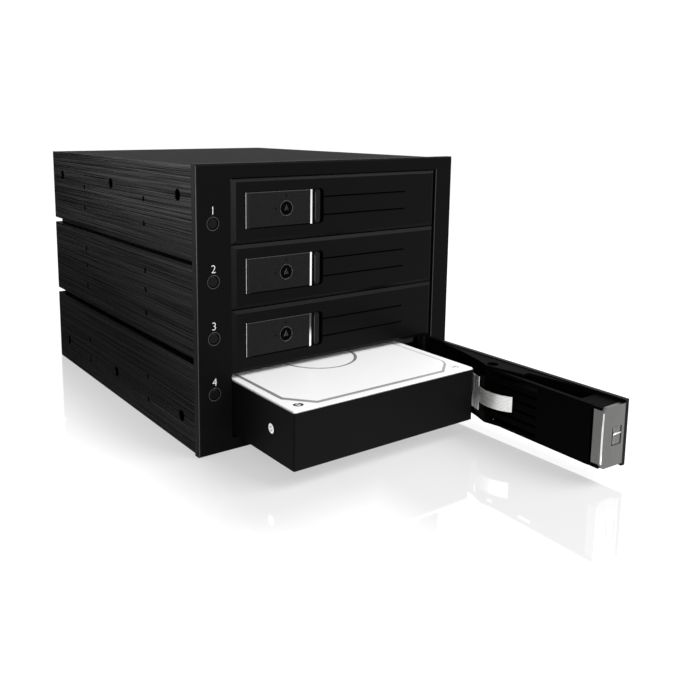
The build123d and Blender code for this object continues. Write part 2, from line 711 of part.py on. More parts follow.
# Door
def at_door(from_hinge, depth):
    """Plan point of a closed door, by its distance from the hinge and depth behind the face."""
    return (HINGE_X - from_hinge, depth)


def latch_opening(y0, y1):
    """The rounded rectangle that the lever and the finger recess take up."""
    width = LATCH_RIGHT - LATCH_LEFT
    sketch = Pos(LATCH_LEFT + width / 2, 0) * Rectangle(width, 2 * LATCH_HALF_HEIGHT)
    opening = backwards(sketch, y0, y1)
    right_edges = opening.edges().filter_by(Axis.Y).sort_by(Axis.X)[-2:]
    return fillet(right_edges, LATCH_CORNER)


def trunnion_bores():
    reach = LATCH_HALF_HEIGHT + TRUNNION_LENGTH
    return post(KNUCKLE_X, KNUCKLE_Y, -reach, reach, TRUNNION_BORE)


def door_face():
    """Face plate with bevelled edges, hinge barrel, latch opening and decorative grooves."""
    plate = slab(DOOR_LEFT, HINGE_X, 0, FACE_THICKNESS, -DOOR_HALF, DOOR_HALF)
    plate += post(HINGE_X, HINGE_Y, -DOOR_HALF, DOOR_HALF, BARREL_RADIUS)
    for side in (-1, 1):
        bevel = Polyline((0, side * DOOR_HALF), (BEVEL_DEPTH, side * DOOR_HALF),
                         (0, side * (DOOR_HALF - EDGE_BEVEL)), close=True)
        plate -= sideways(make_face(bevel), DOOR_LEFT - 1, OPENING_RIGHT)
    bevel = Polyline((DOOR_LEFT, 0), (DOOR_LEFT + END_BEVEL, 0), (DOOR_LEFT, BEVEL_DEPTH), close=True)
    plate -= upright(bevel, -DOOR_HALF, DOOR_HALF)
    inner = FRAME_HALF_HEIGHT - FRAME_FLANGE
    plate -= slab(HINGE_X - THIN_END, HINGE_X - THIN_START, THIN_FACE, FACE_THICKNESS + 1, -inner, inner)
    plate -= latch_opening(-1, FACE_THICKNESS + 1)
    for side in (-1, 1):
        z = side * GROOVE_HEIGHT
        plate -= slab(LATCH_RIGHT, HINGE_X - GROOVE_INSET, -1, GROOVE_DEPTH,
                      z - GROOVE_WIDTH / 2, z + GROOVE_WIDTH / 2)
    plate -= post(HINGE_X, HINGE_Y, -DOOR_HALF, DOOR_HALF, HINGE_BORE)
    return plate - trunnion_bores()


def flange_outline():
    """Plan of the moulding's top and bottom plates, which swell to a crest and fall off in steps."""
    start = at_door(FLANGE_START, FACE_THICKNESS)
    swell_end = at_door(*SWELL_END)
    edge = Polyline(swell_end, at_door(*CREST), at_door(STEP, STEP_DEPTH), at_door(STEP, LEDGE_DEPTH),
                    at_door(LEDGE_END, FACE_THICKNESS), start)
    return ThreePointArc(start, at_door(*SWELL_MIDDLE), swell_end) + edge


def web_outline():
    """Plan of the sloping wall that closes the block on the hinge side."""
    foot, foot_depth = WEB_FOOT
    crest, crest_depth = CREST
    return Polyline(at_door(foot, FACE_THICKNESS), at_door(foot, foot_depth), at_door(crest, crest_depth),
                    at_door(crest + BACK_WALL, crest_depth),
                    at_door(crest + BACK_WALL, crest_depth - BACK_WALL),
                    at_door(foot + WEB_WALL, foot_depth - WEB_WALL / 2),
                    at_door(foot + WEB_WALL, FACE_THICKNESS), close=True)


def seat_outline():
    """Plan of the pad on the sloping wall that the leaf spring lies on."""
    crest, crest_depth = CREST
    return Polyline(at_door(SEAT_FOOT[0], SEAT_ROOT), at_door(*SEAT_FOOT), at_door(*SEAT_CROWN),
                    at_door(crest, crest_depth - SEAT_BACK), close=True)


def block_depth(from_hinge):
    """Depth of the louvred wall, which slants away from the face towards the free end."""
    crest, crest_depth = CREST
    slant = (BLOCK_DEPTH - crest_depth) / (BLOCK_END - crest)
    return crest_depth + slant * (from_hinge - crest)


def block_outline(u0, u1, rear):
    """Plan between two distances from the hinge, from the louvred wall's outside to a given depth."""
    front = [at_door(u, block_depth(u)) for u in (u0, u1)]
    back = [at_door(u, rear(u)) for u in (u1, u0)]
    return Polyline(*front, *back, close=True)


def tongue_way(grow):
    """The channel that the tongue slides in."""
    half = TONGUE_HALF_HEIGHT + grow
    tail = DOOR_LEFT + TONGUE_TAIL + TONGUE_STROKE + 1.0
    return slab(DOOR_LEFT - 1, tail, TONGUE_FRONT - grow, TONGUE_FRONT + TONGUE_DEPTH + grow, -half, half)


def both_ways(outline, low, high):
    """A plan outline raised between two heights, and again below the middle."""
    return upright(outline, low, high) + upright(outline, -high, -low)


def louvre_slots():
    """Slots in the louvred wall; the outermost two are wider."""
    slots = []
    for louvre in range(LOUVRES):
        z = (louvre - (LOUVRES - 1) / 2) * LOUVRE_PITCH
        gap = OUTER_LOUVRE_GAP if louvre in (0, LOUVRES - 1) else LOUVRE_GAP
        low = block_depth(LOUVRE_START) - BACK_WALL - 1
        slots.append(slab(HINGE_X - LOUVRE_END, HINGE_X - LOUVRE_START, low, BLOCK_DEPTH + 1,
                          z - gap / 2, z + gap / 2))
    return slots


def door_frame():
    """Moulding behind the face: swelling plates, sloping web, louvred wall and latch pocket."""
    inner = FRAME_HALF_HEIGHT - FRAME_FLANGE
    hole_x, hole_y = at_door(*FLANGE_HOLE)
    frame = both_ways(flange_outline(), inner, FRAME_HALF_HEIGHT)
    frame -= post(hole_x, hole_y, -DOOR_HALF, DOOR_HALF, FLANGE_HOLE_RADIUS)
    frame += upright(web_outline(), -inner, inner)
    frame += upright(seat_outline(), -SEAT_HALF_HEIGHT, SEAT_HALF_HEIGHT)
    wall = block_outline(CREST[0], BLOCK_END, lambda u: block_depth(u) - BACK_WALL)
    frame += upright(wall, -inner, inner)
    pocket = block_outline(CREST[0] + BACK_WALL, BLOCK_END, lambda u: FACE_THICKNESS)
    frame += both_ways(pocket, POCKET_HALF_HEIGHT, POCKET_HALF_HEIGHT + POCKET_WALL)
    cheek = block_outline(BLOCK_END - CHEEK_LENGTH, CAP_END_START, lambda u: FACE_THICKNESS)
    cheek_low = CAP_HALF_HEIGHT + CHEEK_PLAY
    frame += both_ways(cheek, cheek_low, cheek_low + CHEEK_THICKNESS)
    frame -= louvre_slots()
    return frame - tongue_way(TONGUE_PLAY) - trunnion_bores()


def cap_outline(start, depth):
    """Plan of the end cap or its end plate, whose outer end is an arc about the hinge."""
    face_drop = FACE_THICKNESS - HINGE_Y
    back_drop = depth - HINGE_Y
    middle_drop = (face_drop + back_drop) / 2
    arc = [(HINGE_X - math.sqrt(SWING_RADIUS ** 2 - drop ** 2), HINGE_Y + drop)
           for drop in (face_drop, middle_drop, back_drop)]
    return (Polyline(arc[2], at_door(start, depth), at_door(start, FACE_THICKNESS), arc[0])
            + ThreePointArc(*arc))


def door_end_cap():
    """Plated cap on the free end: a body with an end plate round it, and the tongue's channel."""
    cap = upright(cap_outline(CAP_START, CAP_DEPTH), -CAP_HALF_HEIGHT, CAP_HALF_HEIGHT)
    plate = upright(cap_outline(CAP_END_START, CAP_END_DEPTH), -CAP_END_HALF_HEIGHT, CAP_END_HALF_HEIGHT)
    corners = plate.edges().group_by(Axis.Y)[-1].filter_by(Axis.X)
    plate = fillet(corners, CAP_ROUND)
    return cap + plate - tongue_way(TONGUE_PLAY)


def door_spring():
    """Leaf spring: a wide foot on the sloping pad and a narrow strip bowed over the louvres."""
    foot = Vector(*at_door(*SEAT_FOOT))
    crown = Vector(*at_door(*SEAT_CROWN))
    run = (crown - foot).normalized()
    off = Vector(run.Y, -run.X) * (SPRING_SHEET / 2)
    if off.Y < 0:
        off = off * -1
    start = foot + off + run * SPRING_SHEET
    bend = crown + off
    peak = Vector(*at_door(*SPRING_PEAK))
    tip_depth = block_depth(SPRING_TIP) + SPRING_TIP_GAP + SPRING_SHEET / 2
    tip = Vector(*at_door(SPRING_TIP, tip_depth))
    base = extrude(Pos(0, 0, -SPRING_BASE_HALF) * trace(Line(start, bend), SPRING_SHEET),
                   2 * SPRING_BASE_HALF)
    bow = trace(ThreePointArc(bend, peak, tip), SPRING_SHEET)
    return base + extrude(Pos(0, 0, -SPRING_STRIP_HALF) * bow, 2 * SPRING_STRIP_HALF)


# Latch
def knuckle_shell(radius):
    """The quarter round of the knuckle that faces out and left."""
    quarter = post(KNUCKLE_X, KNUCKLE_Y, -LEVER_HALF, LEVER_HALF, radius)
    return quarter & slab(KNUCKLE_X - KNUCKLE, KNUCKLE_X, KNUCKLE_Y - KNUCKLE, KNUCKLE_Y,
                          -LEVER_HALF, LEVER_HALF)


def knuckle_trim():
    """The narrow bright edge round the outer side of the knuckle."""
    shell = knuckle_shell(KNUCKLE) - knuckle_shell(KNUCKLE - TRIM_THICKNESS)
    left = KNUCKLE_X - KNUCKLE
    return shell & slab(left, left + TRIM_EDGE, 0, KNUCKLE_Y, -LEVER_HALF, LEVER_HALF)


def trim_slot():
    return slab(TRIM_RIGHT - TRIM_STRIP, TRIM_RIGHT, LEVER_SHY - TRIM_RISE, LEVER_SHY + TRIM_THICKNESS,
                -LEVER_HALF, LEVER_HALF)


def latch_lever():
    """Lever plate with a round knuckle, a grip bar, stub pins, a finger and a lock boss."""
    lever = slab(KNUCKLE_X, LEVER_RIGHT, LEVER_SHY, LEVER_BACK, -LEVER_HALF, LEVER_HALF)
    corners = lever.edges().filter_by(Axis.Y).group_by(Axis.X)[-1]
    lever = fillet(corners, LEVER_CORNER)
    front = lever.faces().sort_by(Axis.Y)[0].edges().filter_by(Axis.Z, reverse=True)
    lever = chamfer(front, LEVER_EDGE)
    lever += post(KNUCKLE_X, KNUCKLE_Y, -LEVER_HALF, LEVER_HALF, KNUCKLE)
    lever -= knuckle_trim()
    lever -= trim_slot()
    lever -= slab(TRIM_RIGHT, TRIM_RIGHT + GRIP_GROOVE, LEVER_SHY - 1, LEVER_SHY + GRIP_GROOVE_DEPTH,
                  -LEVER_HALF, LEVER_HALF)
    pin_end = LEVER_HALF + TRUNNION_LENGTH
    lever += post(KNUCKLE_X, KNUCKLE_Y, -pin_end, pin_end, TRUNNION)
    half = FINGER_THICKNESS / 2
    tip = KNUCKLE_Y + FINGER_REACH - half
    lever += slab(KNUCKLE_X - half, KNUCKLE_X + half, KNUCKLE_Y, tip,
                  -FINGER_HALF_HEIGHT, FINGER_HALF_HEIGHT)
    lever += post(KNUCKLE_X, tip, -FINGER_HALF_HEIGHT, FINGER_HALF_HEIGHT, half)
    lever += pin_y(LOCK_X, 0, LEVER_SHY + 1, LOCK_LENGTH, LOCK_BOSS)
    lever -= pin_y(LOCK_X, 0, -1, LOCK_LENGTH + 1, LOCK_RADIUS + LOCK_PLAY)
    rim_back = LEVER_SHY - TRIM_RISE + LOCK_RIM_THICKNESS + LOCK_PLAY
    return lever - pin_y(LOCK_X, 0, -1, rim_back, LOCK_RIM + LOCK_PLAY)


def latch_trim():
    """Bright trim: a narrow round on the knuckle and a strip beside the grip."""
    return [knuckle_trim(), trim_slot()]


def lock_core():
    """Turning core with a rim in front, a keyway and a flange that keeps it in the lever."""
    front = LEVER_SHY - TRIM_RISE
    rim_back = front + LOCK_RIM_THICKNESS
    core = pin_y(LOCK_X, 0, front, rim_back, LOCK_RIM)
    flange = LOCK_LENGTH + LOCK_PLAY
    core += pin_y(LOCK_X, 0, rim_back, flange, LOCK_RADIUS)
    core += pin_y(LOCK_X, 0, flange, flange + LOCK_FLANGE_THICKNESS, LOCK_FLANGE)
    return core - slab(LOCK_X - KEYWAY_WIDTH / 2, LOCK_X + KEYWAY_WIDTH / 2, -1, KEYWAY_DEPTH,
                       -KEYWAY_HEIGHT / 2, KEYWAY_HEIGHT / 2)


def latch_tongue():
    """Sliding tongue with a sloped nose and a notch for the lever's finger."""
    tip = DOOR_LEFT + TONGUE_SHY
    tail = DOOR_LEFT + TONGUE_TAIL
    back = TONGUE_FRONT + TONGUE_DEPTH
    half = TONGUE_HALF_HEIGHT
    tongue = slab(tip, tail, TONGUE_FRONT, back, -half, half)
    nose = tongue.edges().filter_by(Axis.Z).group_by(Axis.X)[0].sort_by(Axis.Y)[-1]
    tongue = chamfer(nose, TONGUE_SLOPE)
    notch_half = FINGER_THICKNESS / 2 + FINGER_PLAY
    notch_back = KNUCKLE_Y + FINGER_REACH + FINGER_TIP_PLAY
    return tongue - slab(KNUCKLE_X - notch_half, KNUCKLE_X + notch_half, TONGUE_FRONT - 1, notch_back,
                         -FINGER_HALF_HEIGHT - TONGUE_PLAY, FINGER_HALF_HEIGHT + TONGUE_PLAY)


# Drive, drawn with its front at y = 0, its left side at x = 0 and its bottom at z = 0
def drive_notch():
    middle = SOCKET_X - DRIVE_LEFT
    half = NOTCH_WIDTH / 2
    return slab(middle - half, middle + half, DRIVE_LENGTH - NOTCH_DEPTH, DRIVE_LENGTH + 1,
                NOTCH_LEVEL - NOTCH_HEIGHT / 2, NOTCH_LEVEL + NOTCH_HEIGHT / 2)


def drive_casting():
    """Cast body with rounded corners, screw sockets, a rear notch and a rim for the board."""
    rounded = RectangleRounded(DRIVE_WIDTH, DRIVE_LENGTH, DRIVE_CORNER)
    outline = Pos(DRIVE_WIDTH / 2, DRIVE_LENGTH / 2) * rounded
    casting = extrude(outline, DRIVE_HEIGHT - LID_SHEET - LID_RISE)
    casting -= drive_notch()
    low = DRIVE_LENGTH - DRIVE_BOARD_LENGTH - DRIVE_BOARD_MARGIN
    casting -= slab(DRIVE_BOARD_MARGIN, DRIVE_WIDTH - DRIVE_BOARD_MARGIN, low,
                    DRIVE_LENGTH - DRIVE_BOARD_MARGIN, -1, DRIVE_BOARD_THICKNESS)
    for y in DRIVE_SCREW_YS:
        casting -= pin_x(y, DRIVE_SCREW_LEVEL, -1, DRIVE_SCREW_DEPTH, DRIVE_SCREW_RADIUS)
        casting -= pin_x(y, DRIVE_SCREW_LEVEL, DRIVE_WIDTH - DRIVE_SCREW_DEPTH, DRIVE_WIDTH + 1,
                         DRIVE_SCREW_RADIUS)
    return casting


def drive_side_screws():
    screws = []
    for y in DRIVE_SCREW_YS:
        left = pin_x(y, DRIVE_SCREW_LEVEL, DRIVE_SCREW_SHY, DRIVE_SCREW_DEPTH,
                     DRIVE_SCREW_RADIUS - DRIVE_SCREW_PLAY)
        left -= pin_x(y, DRIVE_SCREW_LEVEL, 0, DRIVE_SCREW_DEPTH / 2, DRIVE_SCREW_SOCKET)
        screws.append(left)
        screws.append(Pos(DRIVE_WIDTH, 0, 0) * mirror(left, Plane.YZ))
    return screws


def drive_board():
    low = DRIVE_LENGTH - DRIVE_BOARD_LENGTH - DRIVE_BOARD_MARGIN
    left = DRIVE_BOARD_MARGIN + DRIVE_BOARD_PLAY
    return slab(left, DRIVE_WIDTH - left, low + DRIVE_BOARD_PLAY, DRIVE_LENGTH - left, 0,
                DRIVE_BOARD_THICKNESS)


def drive_plug():
    """Plug blade in the rear notch, which enters the socket on the backplane."""
    middle = SOCKET_X - DRIVE_LEFT
    half = PLUG_WIDTH / 2
    return slab(middle - half, middle + half, DRIVE_LENGTH - NOTCH_DEPTH, DRIVE_LENGTH,
                NOTCH_LEVEL - PLUG_THICKNESS / 2, NOTCH_LEVEL + PLUG_THICKNESS / 2)


def lid_screw_places():
    ys = (LID_SCREW_INSET, LID_MIDDLE_SCREW, DRIVE_LENGTH - LID_SCREW_INSET)
    return [(x, y) for x in (LID_SCREW_INSET, DRIVE_WIDTH - LID_SCREW_INSET) for y in ys]


def raised_outline():
    """The lid's raised panel: a plate whose corners are cut off round the screws."""
    left = PANEL_LEFT
    right = DRIVE_WIDTH - PANEL_RIGHT
    back = DRIVE_LENGTH - PANEL_BACK
    cut_x, cut_y = PANEL_FRONT_CUT
    back_x, back_y = PANEL_BACK_CUT
    step_x, step_y = PANEL_STEP
    end_x, end_y = PANEL_STEP_END
    return Polyline((left, PANEL_FRONT + cut_y), (left + cut_x, PANEL_FRONT),
                    (DRIVE_WIDTH - end_x, PANEL_FRONT),
                    (DRIVE_WIDTH - step_x, step_y), (right, end_y), (right, back - back_y),
                    (right - back_x, back), (left + back_x, back), (left, back - back_y), close=True)


def drive_lid():
    """Pressed lid with a raised panel and a ring about the spindle."""
    top = DRIVE_HEIGHT - LID_RISE
    width = DRIVE_WIDTH - 2 * LID_INSET
    length = DRIVE_LENGTH - 2 * LID_INSET
    outline = Pos(DRIVE_WIDTH / 2, DRIVE_LENGTH / 2) * RectangleRounded(width, length, DRIVE_CORNER)
    lid = extrude(Pos(0, 0, top - LID_SHEET) * outline, LID_SHEET)
    for x, y in lid_screw_places():
        lid -= post(x, y, top - LID_SHEET - 1, top + 1, LID_SCREW)
    panel = upright(raised_outline(), top, DRIVE_HEIGHT)
    for x, y in lid_screw_places():
        panel -= post(x, y, top - 1, DRIVE_HEIGHT + 1, LID_SCREW + LID_SCREW_RIM)
    middle = DRIVE_WIDTH / 2
    panel -= post(middle, SPINDLE_FROM_FRONT, top, DRIVE_HEIGHT + 1, SPINDLE_RADIUS)
    panel += post(middle, SPINDLE_FROM_FRONT, top, DRIVE_HEIGHT, SPINDLE_RADIUS - SPINDLE_GROOVE)
    return lid + panel


def drive_lid_screws():
    top = DRIVE_HEIGHT - LID_RISE
    screws = []
    for x, y in lid_screw_places():
        head = post(x, y, top - LID_SHEET, top - LID_SCREW_PLAY, LID_SCREW - LID_SCREW_PLAY)
        screws.append(head - post(x, y, top - LID_SHEET / 2, top, LID_SCREW / 2))
    return screws


# Assembly
def moved_back(piece):
    if isinstance(piece, list):
        return Compound(children=[Pos(0, FRONT, 0) * each for each in piece])
    return Pos(0, FRONT, 0) * piece


def save(name, piece):
    export_step(moved_back(piece), f"parts/{name}.step")


def save_case():
    save("bezel", bezel())
    save("hinge_rod", hinge_rod())
    left = side_panel()
    save("left_side_panel", left)
    save("right_side_panel", mirror(left, Plane.YZ))
    save("bottom_cover", cover())
    save("top_cover", turned_over(cover()))
    save("side_screws", side_screws())
    save("rear_panel", rear_panel())
    save("rear_screws", rear_screws())
    save("left_bay_wall", bay_wall(DRIVE_LEFT - BAY_PLAY - BAY_WALL, DRIVE_LEFT - BAY_PLAY))
    save("right_bay_wall", right_bay_wall())
    save("drive_rails", [rail for bay in range(1, BAYS + 1) for rail in bay_rails(bay)])
    save("backplane", backplane())
    save("drive_sockets", [drive_socket(bay) for bay in range(1, BAYS + 1)])
    save("data_sockets", data_sockets())
    save("power_sockets", power_sockets())
    save("lamp_lenses", [lamp_pipe(z) for z in lamp_levels()])
    save("lamp_board", [lamp_board(), *lamp_chips()])
    save("fan_housing", fan_housing())
    save("fan_rotor", fan_rotor())
    save("fan_guard", fan_guard())
    save("fan_screws", fan_screws())


def save_doors():
    pieces = {
        "door_{}_face": door_face(),
        "door_{}_frame": door_frame(),
        "door_{}_end_cap": door_end_cap(),
        "door_{}_spring": door_spring(),
        "latch_{}_lever": latch_lever(),
        "latch_{}_trim": latch_trim(),
        "lock_{}_core": lock_core(),
        "latch_{}_tongue": latch_tongue(),
    }
    hinge = Pos(HINGE_X, HINGE_Y, 0)
    for bay in range(1, BAYS + 1):
        angle = OPEN_ANGLE if bay == BAYS else 0
        swing = hinge * Rot(0, 0, angle) * hinge.inverse()
        place = Pos(0, 0, bay_level(bay)) * swing
        for name, piece in pieces.items():
            placed = [place * each for each in piece] if isinstance(piece, list) else place * piece
            save(name.format(bay), placed)


def save_drive():
    place = Pos(DRIVE_LEFT, -DRIVE_OUT, bay_level(BAYS) - DRIVE_HEIGHT / 2)
    save("drive_casting", place * drive_casting())
    save("drive_board", place * drive_board())
    save("drive_plug", place * drive_plug())
    save("drive_lid", place * drive_lid())
    save("drive_lid_screws", [place * screw for screw in drive_lid_screws()])
    save("drive_side_screws", [place * screw for screw in drive_side_screws()])


os.makedirs("parts", exist_ok=True)
save_case()
save_doors()
save_drive()
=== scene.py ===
import math
import bpy
from mathutils import Matrix, Vector


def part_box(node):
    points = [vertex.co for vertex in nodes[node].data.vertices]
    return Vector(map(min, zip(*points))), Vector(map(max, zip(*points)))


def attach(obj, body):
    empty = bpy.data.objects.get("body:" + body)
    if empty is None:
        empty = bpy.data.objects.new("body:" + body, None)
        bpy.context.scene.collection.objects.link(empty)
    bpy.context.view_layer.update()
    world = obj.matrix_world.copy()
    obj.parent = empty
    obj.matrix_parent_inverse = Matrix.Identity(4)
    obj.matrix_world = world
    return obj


# A hot swap drive cage: a black case with four latching doors, the lowest of them open,
# and a bright-lidded drive that has slid out of its bay.
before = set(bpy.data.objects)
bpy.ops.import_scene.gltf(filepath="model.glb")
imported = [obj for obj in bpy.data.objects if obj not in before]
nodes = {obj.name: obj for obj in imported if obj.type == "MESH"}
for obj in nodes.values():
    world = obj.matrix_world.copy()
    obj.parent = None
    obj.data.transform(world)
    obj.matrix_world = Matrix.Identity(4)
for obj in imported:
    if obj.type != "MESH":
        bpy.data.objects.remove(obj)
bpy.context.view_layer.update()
MM = 0.001
DOORS = (1, 2, 3, 4)
OPEN_DOOR = 4
WHITE = (1, 1, 1, 1)


# Camera, at the photograph's viewing angle
FRAME_PIXELS = 683
SENSOR_MM = 36.0
LENS_MM = 41.345
NEAREST = 10 * MM
AXIS_PIXEL = (289.68, 248.77)
BEZEL_FACE_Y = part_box("bezel")[0].y
CAMERA_AT = Vector((-224.73 * MM, BEZEL_FACE_Y - 288.24 * MM, 145.11 * MM))
CAMERA_RIGHT = Vector((0.82506, -0.56504, 0.00362))
CAMERA_AHEAD = Vector((0.55826, 0.81413, -0.15980))


def add_camera():
    """The lens axis isn't in the middle of the photograph, so the view is shifted."""
    data = bpy.data.cameras.new("view_camera")
    data.sensor_width = SENSOR_MM
    data.lens = LENS_MM
    data.shift_x = (FRAME_PIXELS / 2 - AXIS_PIXEL[0]) / FRAME_PIXELS
    data.shift_y = (AXIS_PIXEL[1] - FRAME_PIXELS / 2) / FRAME_PIXELS
    data.clip_start = NEAREST
    camera = bpy.data.objects.new("view_camera", data)
    bpy.context.scene.collection.objects.link(camera)
    ahead = CAMERA_AHEAD.normalized()
    right = (CAMERA_RIGHT - ahead * CAMERA_RIGHT.dot(ahead)).normalized()
    up = right.cross(ahead)
    turn = Matrix((right, up, -ahead)).transposed().to_4x4()
    camera.matrix_world = Matrix.Translation(CAMERA_AT) @ turn
    bpy.context.scene.camera = camera


# Colours and nodes
def linear(hex_colour):
    """An sRGB hex value as linear light."""
    parts = [int(hex_colour[i:i + 2], 16) / 255 for i in (1, 3, 5)]
    light = [p / 12.92 if p <= 0.04045 else ((p + 0.055) / 1.055) ** 2.4 for p in parts]
    return (*light, 1.0)


def node(tree, kind, settings=None, **links):
    """Adds a node; links names an input and gives it a value or another node's output."""
    new = tree.nodes.new(kind)
    for name, value in (settings or {}).items():
        setattr(new, name, value)
    for name, value in links.items():
        numbered = name[0] == "i" and name[1:].isdigit()
        socket = new.inputs[int(name[1:])] if numbered else new.inputs[name.replace("_", " ")]
        if isinstance(value, bpy.types.NodeSocket):
            tree.links.new(value, socket)
        else:
            socket.default_value = value
    return new


def seen_directly(tree):
    """1 for rays from the camera and for those that gloss or glass sends on, 0 for soft light."""
    path = node(tree, "ShaderNodeLightPath")
    seen = node(tree, "ShaderNodeMath", {"operation": "MAXIMUM"},
                i0=path.outputs["Is Camera Ray"], i1=path.outputs["Is Glossy Ray"])
    return node(tree, "ShaderNodeMath", {"operation": "MAXIMUM"},
                i0=seen.outputs[0], i1=path.outputs["Is Transmission Ray"]).outputs[0]


# Light, each lamp with its place, what it looks at, its size and its watts
SOFT_WORLD = 0.55
LAMPS = {
    "front_softbox": ((-0.20, -0.95, 0.14), (0, -0.09, 0.06), (0.24, 0.24), 6.0),
    "top_softbox": ((0.45, -0.60, 0.75), (0, -0.05, 0.05), (0.7, 0.7), 12.0),
    "side_softbox": ((-0.60, 0.75, 0.16), (-0.07, -0.05, 0.08), (0.4, 0.3), 3.0),
}

# Floor, with the two rectangles under the case and the open door as a middle and a half size
FLOOR_REACH = 12.0
FLOOR_DROP = 0.2 * MM
FLOOR_GLOW = 0.50
FLOOR_MATT = 0.25
FLOOR_GLOSS = 0.38
FLOOR_ROUGHNESS = 0.05
GLOSSY_CASE = ((-0.008, -0.024), (0.060, 0.116))
GLOSSY_DOOR = ((0.025, -0.190), (0.035, 0.050))
GLOSS_FADE = (0.004, 0.060)


def add_light(name, at, towards, size, watts):
    """A rectangular softbox."""
    data = bpy.data.lights.new(name, "AREA")
    data.shape = "RECTANGLE"
    data.size, data.size_y = size
    data.energy = watts
    lamp = bpy.data.objects.new(name, data)
    bpy.context.scene.collection.objects.link(lamp)
    lamp.location = at
    lamp.rotation_euler = (Vector(towards) - Vector(at)).to_track_quat("-Z", "Y").to_euler()


def add_world():
    """A white backdrop for the camera and for gloss, and a soft even light for the rest."""
    world = bpy.data.worlds.new("studio")
    bpy.context.scene.world = world
    world.use_nodes = True
    tree = world.node_tree
    tree.nodes.clear()
    soft = node(tree, "ShaderNodeBackground", Color=WHITE, Strength=SOFT_WORLD)
    white = node(tree, "ShaderNodeBackground", Color=WHITE, Strength=1.0)
    mix = node(tree, "ShaderNodeMixShader",
               i0=seen_directly(tree), i1=soft.outputs[0], i2=white.outputs[0])
    node(tree, "ShaderNodeOutputWorld", Surface=mix.outputs[0])


def distance_outside(tree, middle, half):
    """How far a point of the table lies outside a rectangle, in metres."""
    steps = (("SUBTRACT", (*middle, 0)), ("ABSOLUTE", None), ("SUBTRACT", (*half, 1)),
             ("MAXIMUM", (0, 0, 0)))
    off = node(tree, "ShaderNodeTexCoord").outputs["Object"]
    for operation, by in steps:
        other = {} if by is None else {"i1": by}
        off = node(tree, "ShaderNodeVectorMath", {"operation": operation},
                   i0=off, **other).outputs[0]
    return node(tree, "ShaderNodeVectorMath", {"operation": "LENGTH"}, i0=off).outputs["Value"]


def add_floor():
    """A white table, part lit from below, with a polished middle that reflects what is on it."""
    bpy.ops.object.select_all(action="DESELECT")
    bpy.ops.mesh.primitive_plane_add(size=2 * FLOOR_REACH, location=(0, 0, -FLOOR_DROP))
    floor = bpy.context.object
    floor.name = "table"
    mat = bpy.data.materials.new("back_lit_acrylic")
    mat.use_nodes = True
    tree = mat.node_tree
    tree.nodes.clear()
    near = node(tree, "ShaderNodeMath", {"operation": "MINIMUM"},
                i0=distance_outside(tree, *GLOSSY_CASE), i1=distance_outside(tree, *GLOSSY_DOOR))
    polish = node(tree, "ShaderNodeMapRange", {"interpolation_type": "SMOOTHSTEP"},
                  Value=near.outputs[0], i1=GLOSS_FADE[0], i2=GLOSS_FADE[1], i3=FLOOR_GLOSS, i4=0.0)
    matt = node(tree, "ShaderNodeBsdfDiffuse", Color=(FLOOR_MATT, FLOOR_MATT, FLOOR_MATT, 1))
    gloss = node(tree, "ShaderNodeBsdfGlossy", Color=polish.outputs[0], Roughness=FLOOR_ROUGHNESS)
    level = node(tree, "ShaderNodeMath", {"operation": "SUBTRACT"},
                 i0=FLOOR_GLOW + FLOOR_GLOSS, i1=polish.outputs[0])
    level = node(tree, "ShaderNodeMath", {"operation": "MULTIPLY"},
                 i0=seen_directly(tree), i1=level.outputs[0])
    glow = node(tree, "ShaderNodeEmission", Color=WHITE, Strength=level.outputs[0])
    both = node(tree, "ShaderNodeAddShader", i0=matt.outputs[0], i1=gloss.outputs[0])
    total = node(tree, "ShaderNodeAddShader", i0=both.outputs[0], i1=glow.outputs[0])
    node(tree, "ShaderNodeOutputMaterial", Surface=total.outputs[0])
    floor.data.materials.append(mat)


# Materials. Real mould grain is about 0.1 mm and real brush lines about 0.05 mm: both are too
# fine to show, so they are drawn several times as coarse.
GRAIN_RANGE = (0.3, 0.7)
GRAIN_RELIEF = 0.3
STREAK_RANGE = (0.32, 0.68)
STREAK_RELIEF = 0.05 * MM
COPPER_AREA_MM = 8.3333


def material(name, colour, roughness, metallic=0.0, specular=0.5, tint="#ffffff"):
    """A principled material; on a metal the tint is what it mirrors at a glancing view."""
    mat = bpy.data.materials.new(name)
    mat.use_nodes = True
    shader = mat.node_tree.nodes["Principled BSDF"]
    shader.inputs["Base Color"].default_value = linear(colour)
    shader.inputs["Roughness"].default_value = roughness
    shader.inputs["Metallic"].default_value = metallic
    shader.inputs["Specular IOR Level"].default_value = specular
    shader.inputs["Specular Tint"].default_value = linear(tint)
    return mat


def place_in_mm(tree, sizes_mm):
    """Object coordinates, counted in a pattern's own size along each axis."""
    where = node(tree, "ShaderNodeTexCoord")
    return node(tree, "ShaderNodeMapping", Vector=where.outputs["Object"],
                Scale=tuple(1 / (size * MM) for size in sizes_mm)).outputs[0]


def coloured_between(mat, share, dark, light):
    """Lets the base colour run from dark to light with a share from 0 to 1."""
    tree = mat.node_tree
    ramp = node(tree, "ShaderNodeMix", {"data_type": "RGBA"}, Factor=share,
                i6=linear(dark), i7=linear(light))
    tree.links.new(ramp.outputs[2], tree.nodes["Principled BSDF"].inputs["Base Color"])


def raised(mat, height, strength, relief):
    """Lets a pattern stand up from the surface."""
    tree = mat.node_tree
    bump = node(tree, "ShaderNodeBump", Strength=strength, Distance=relief, Height=height)
    tree.links.new(bump.outputs[0], tree.nodes["Principled BSDF"].inputs["Normal"])


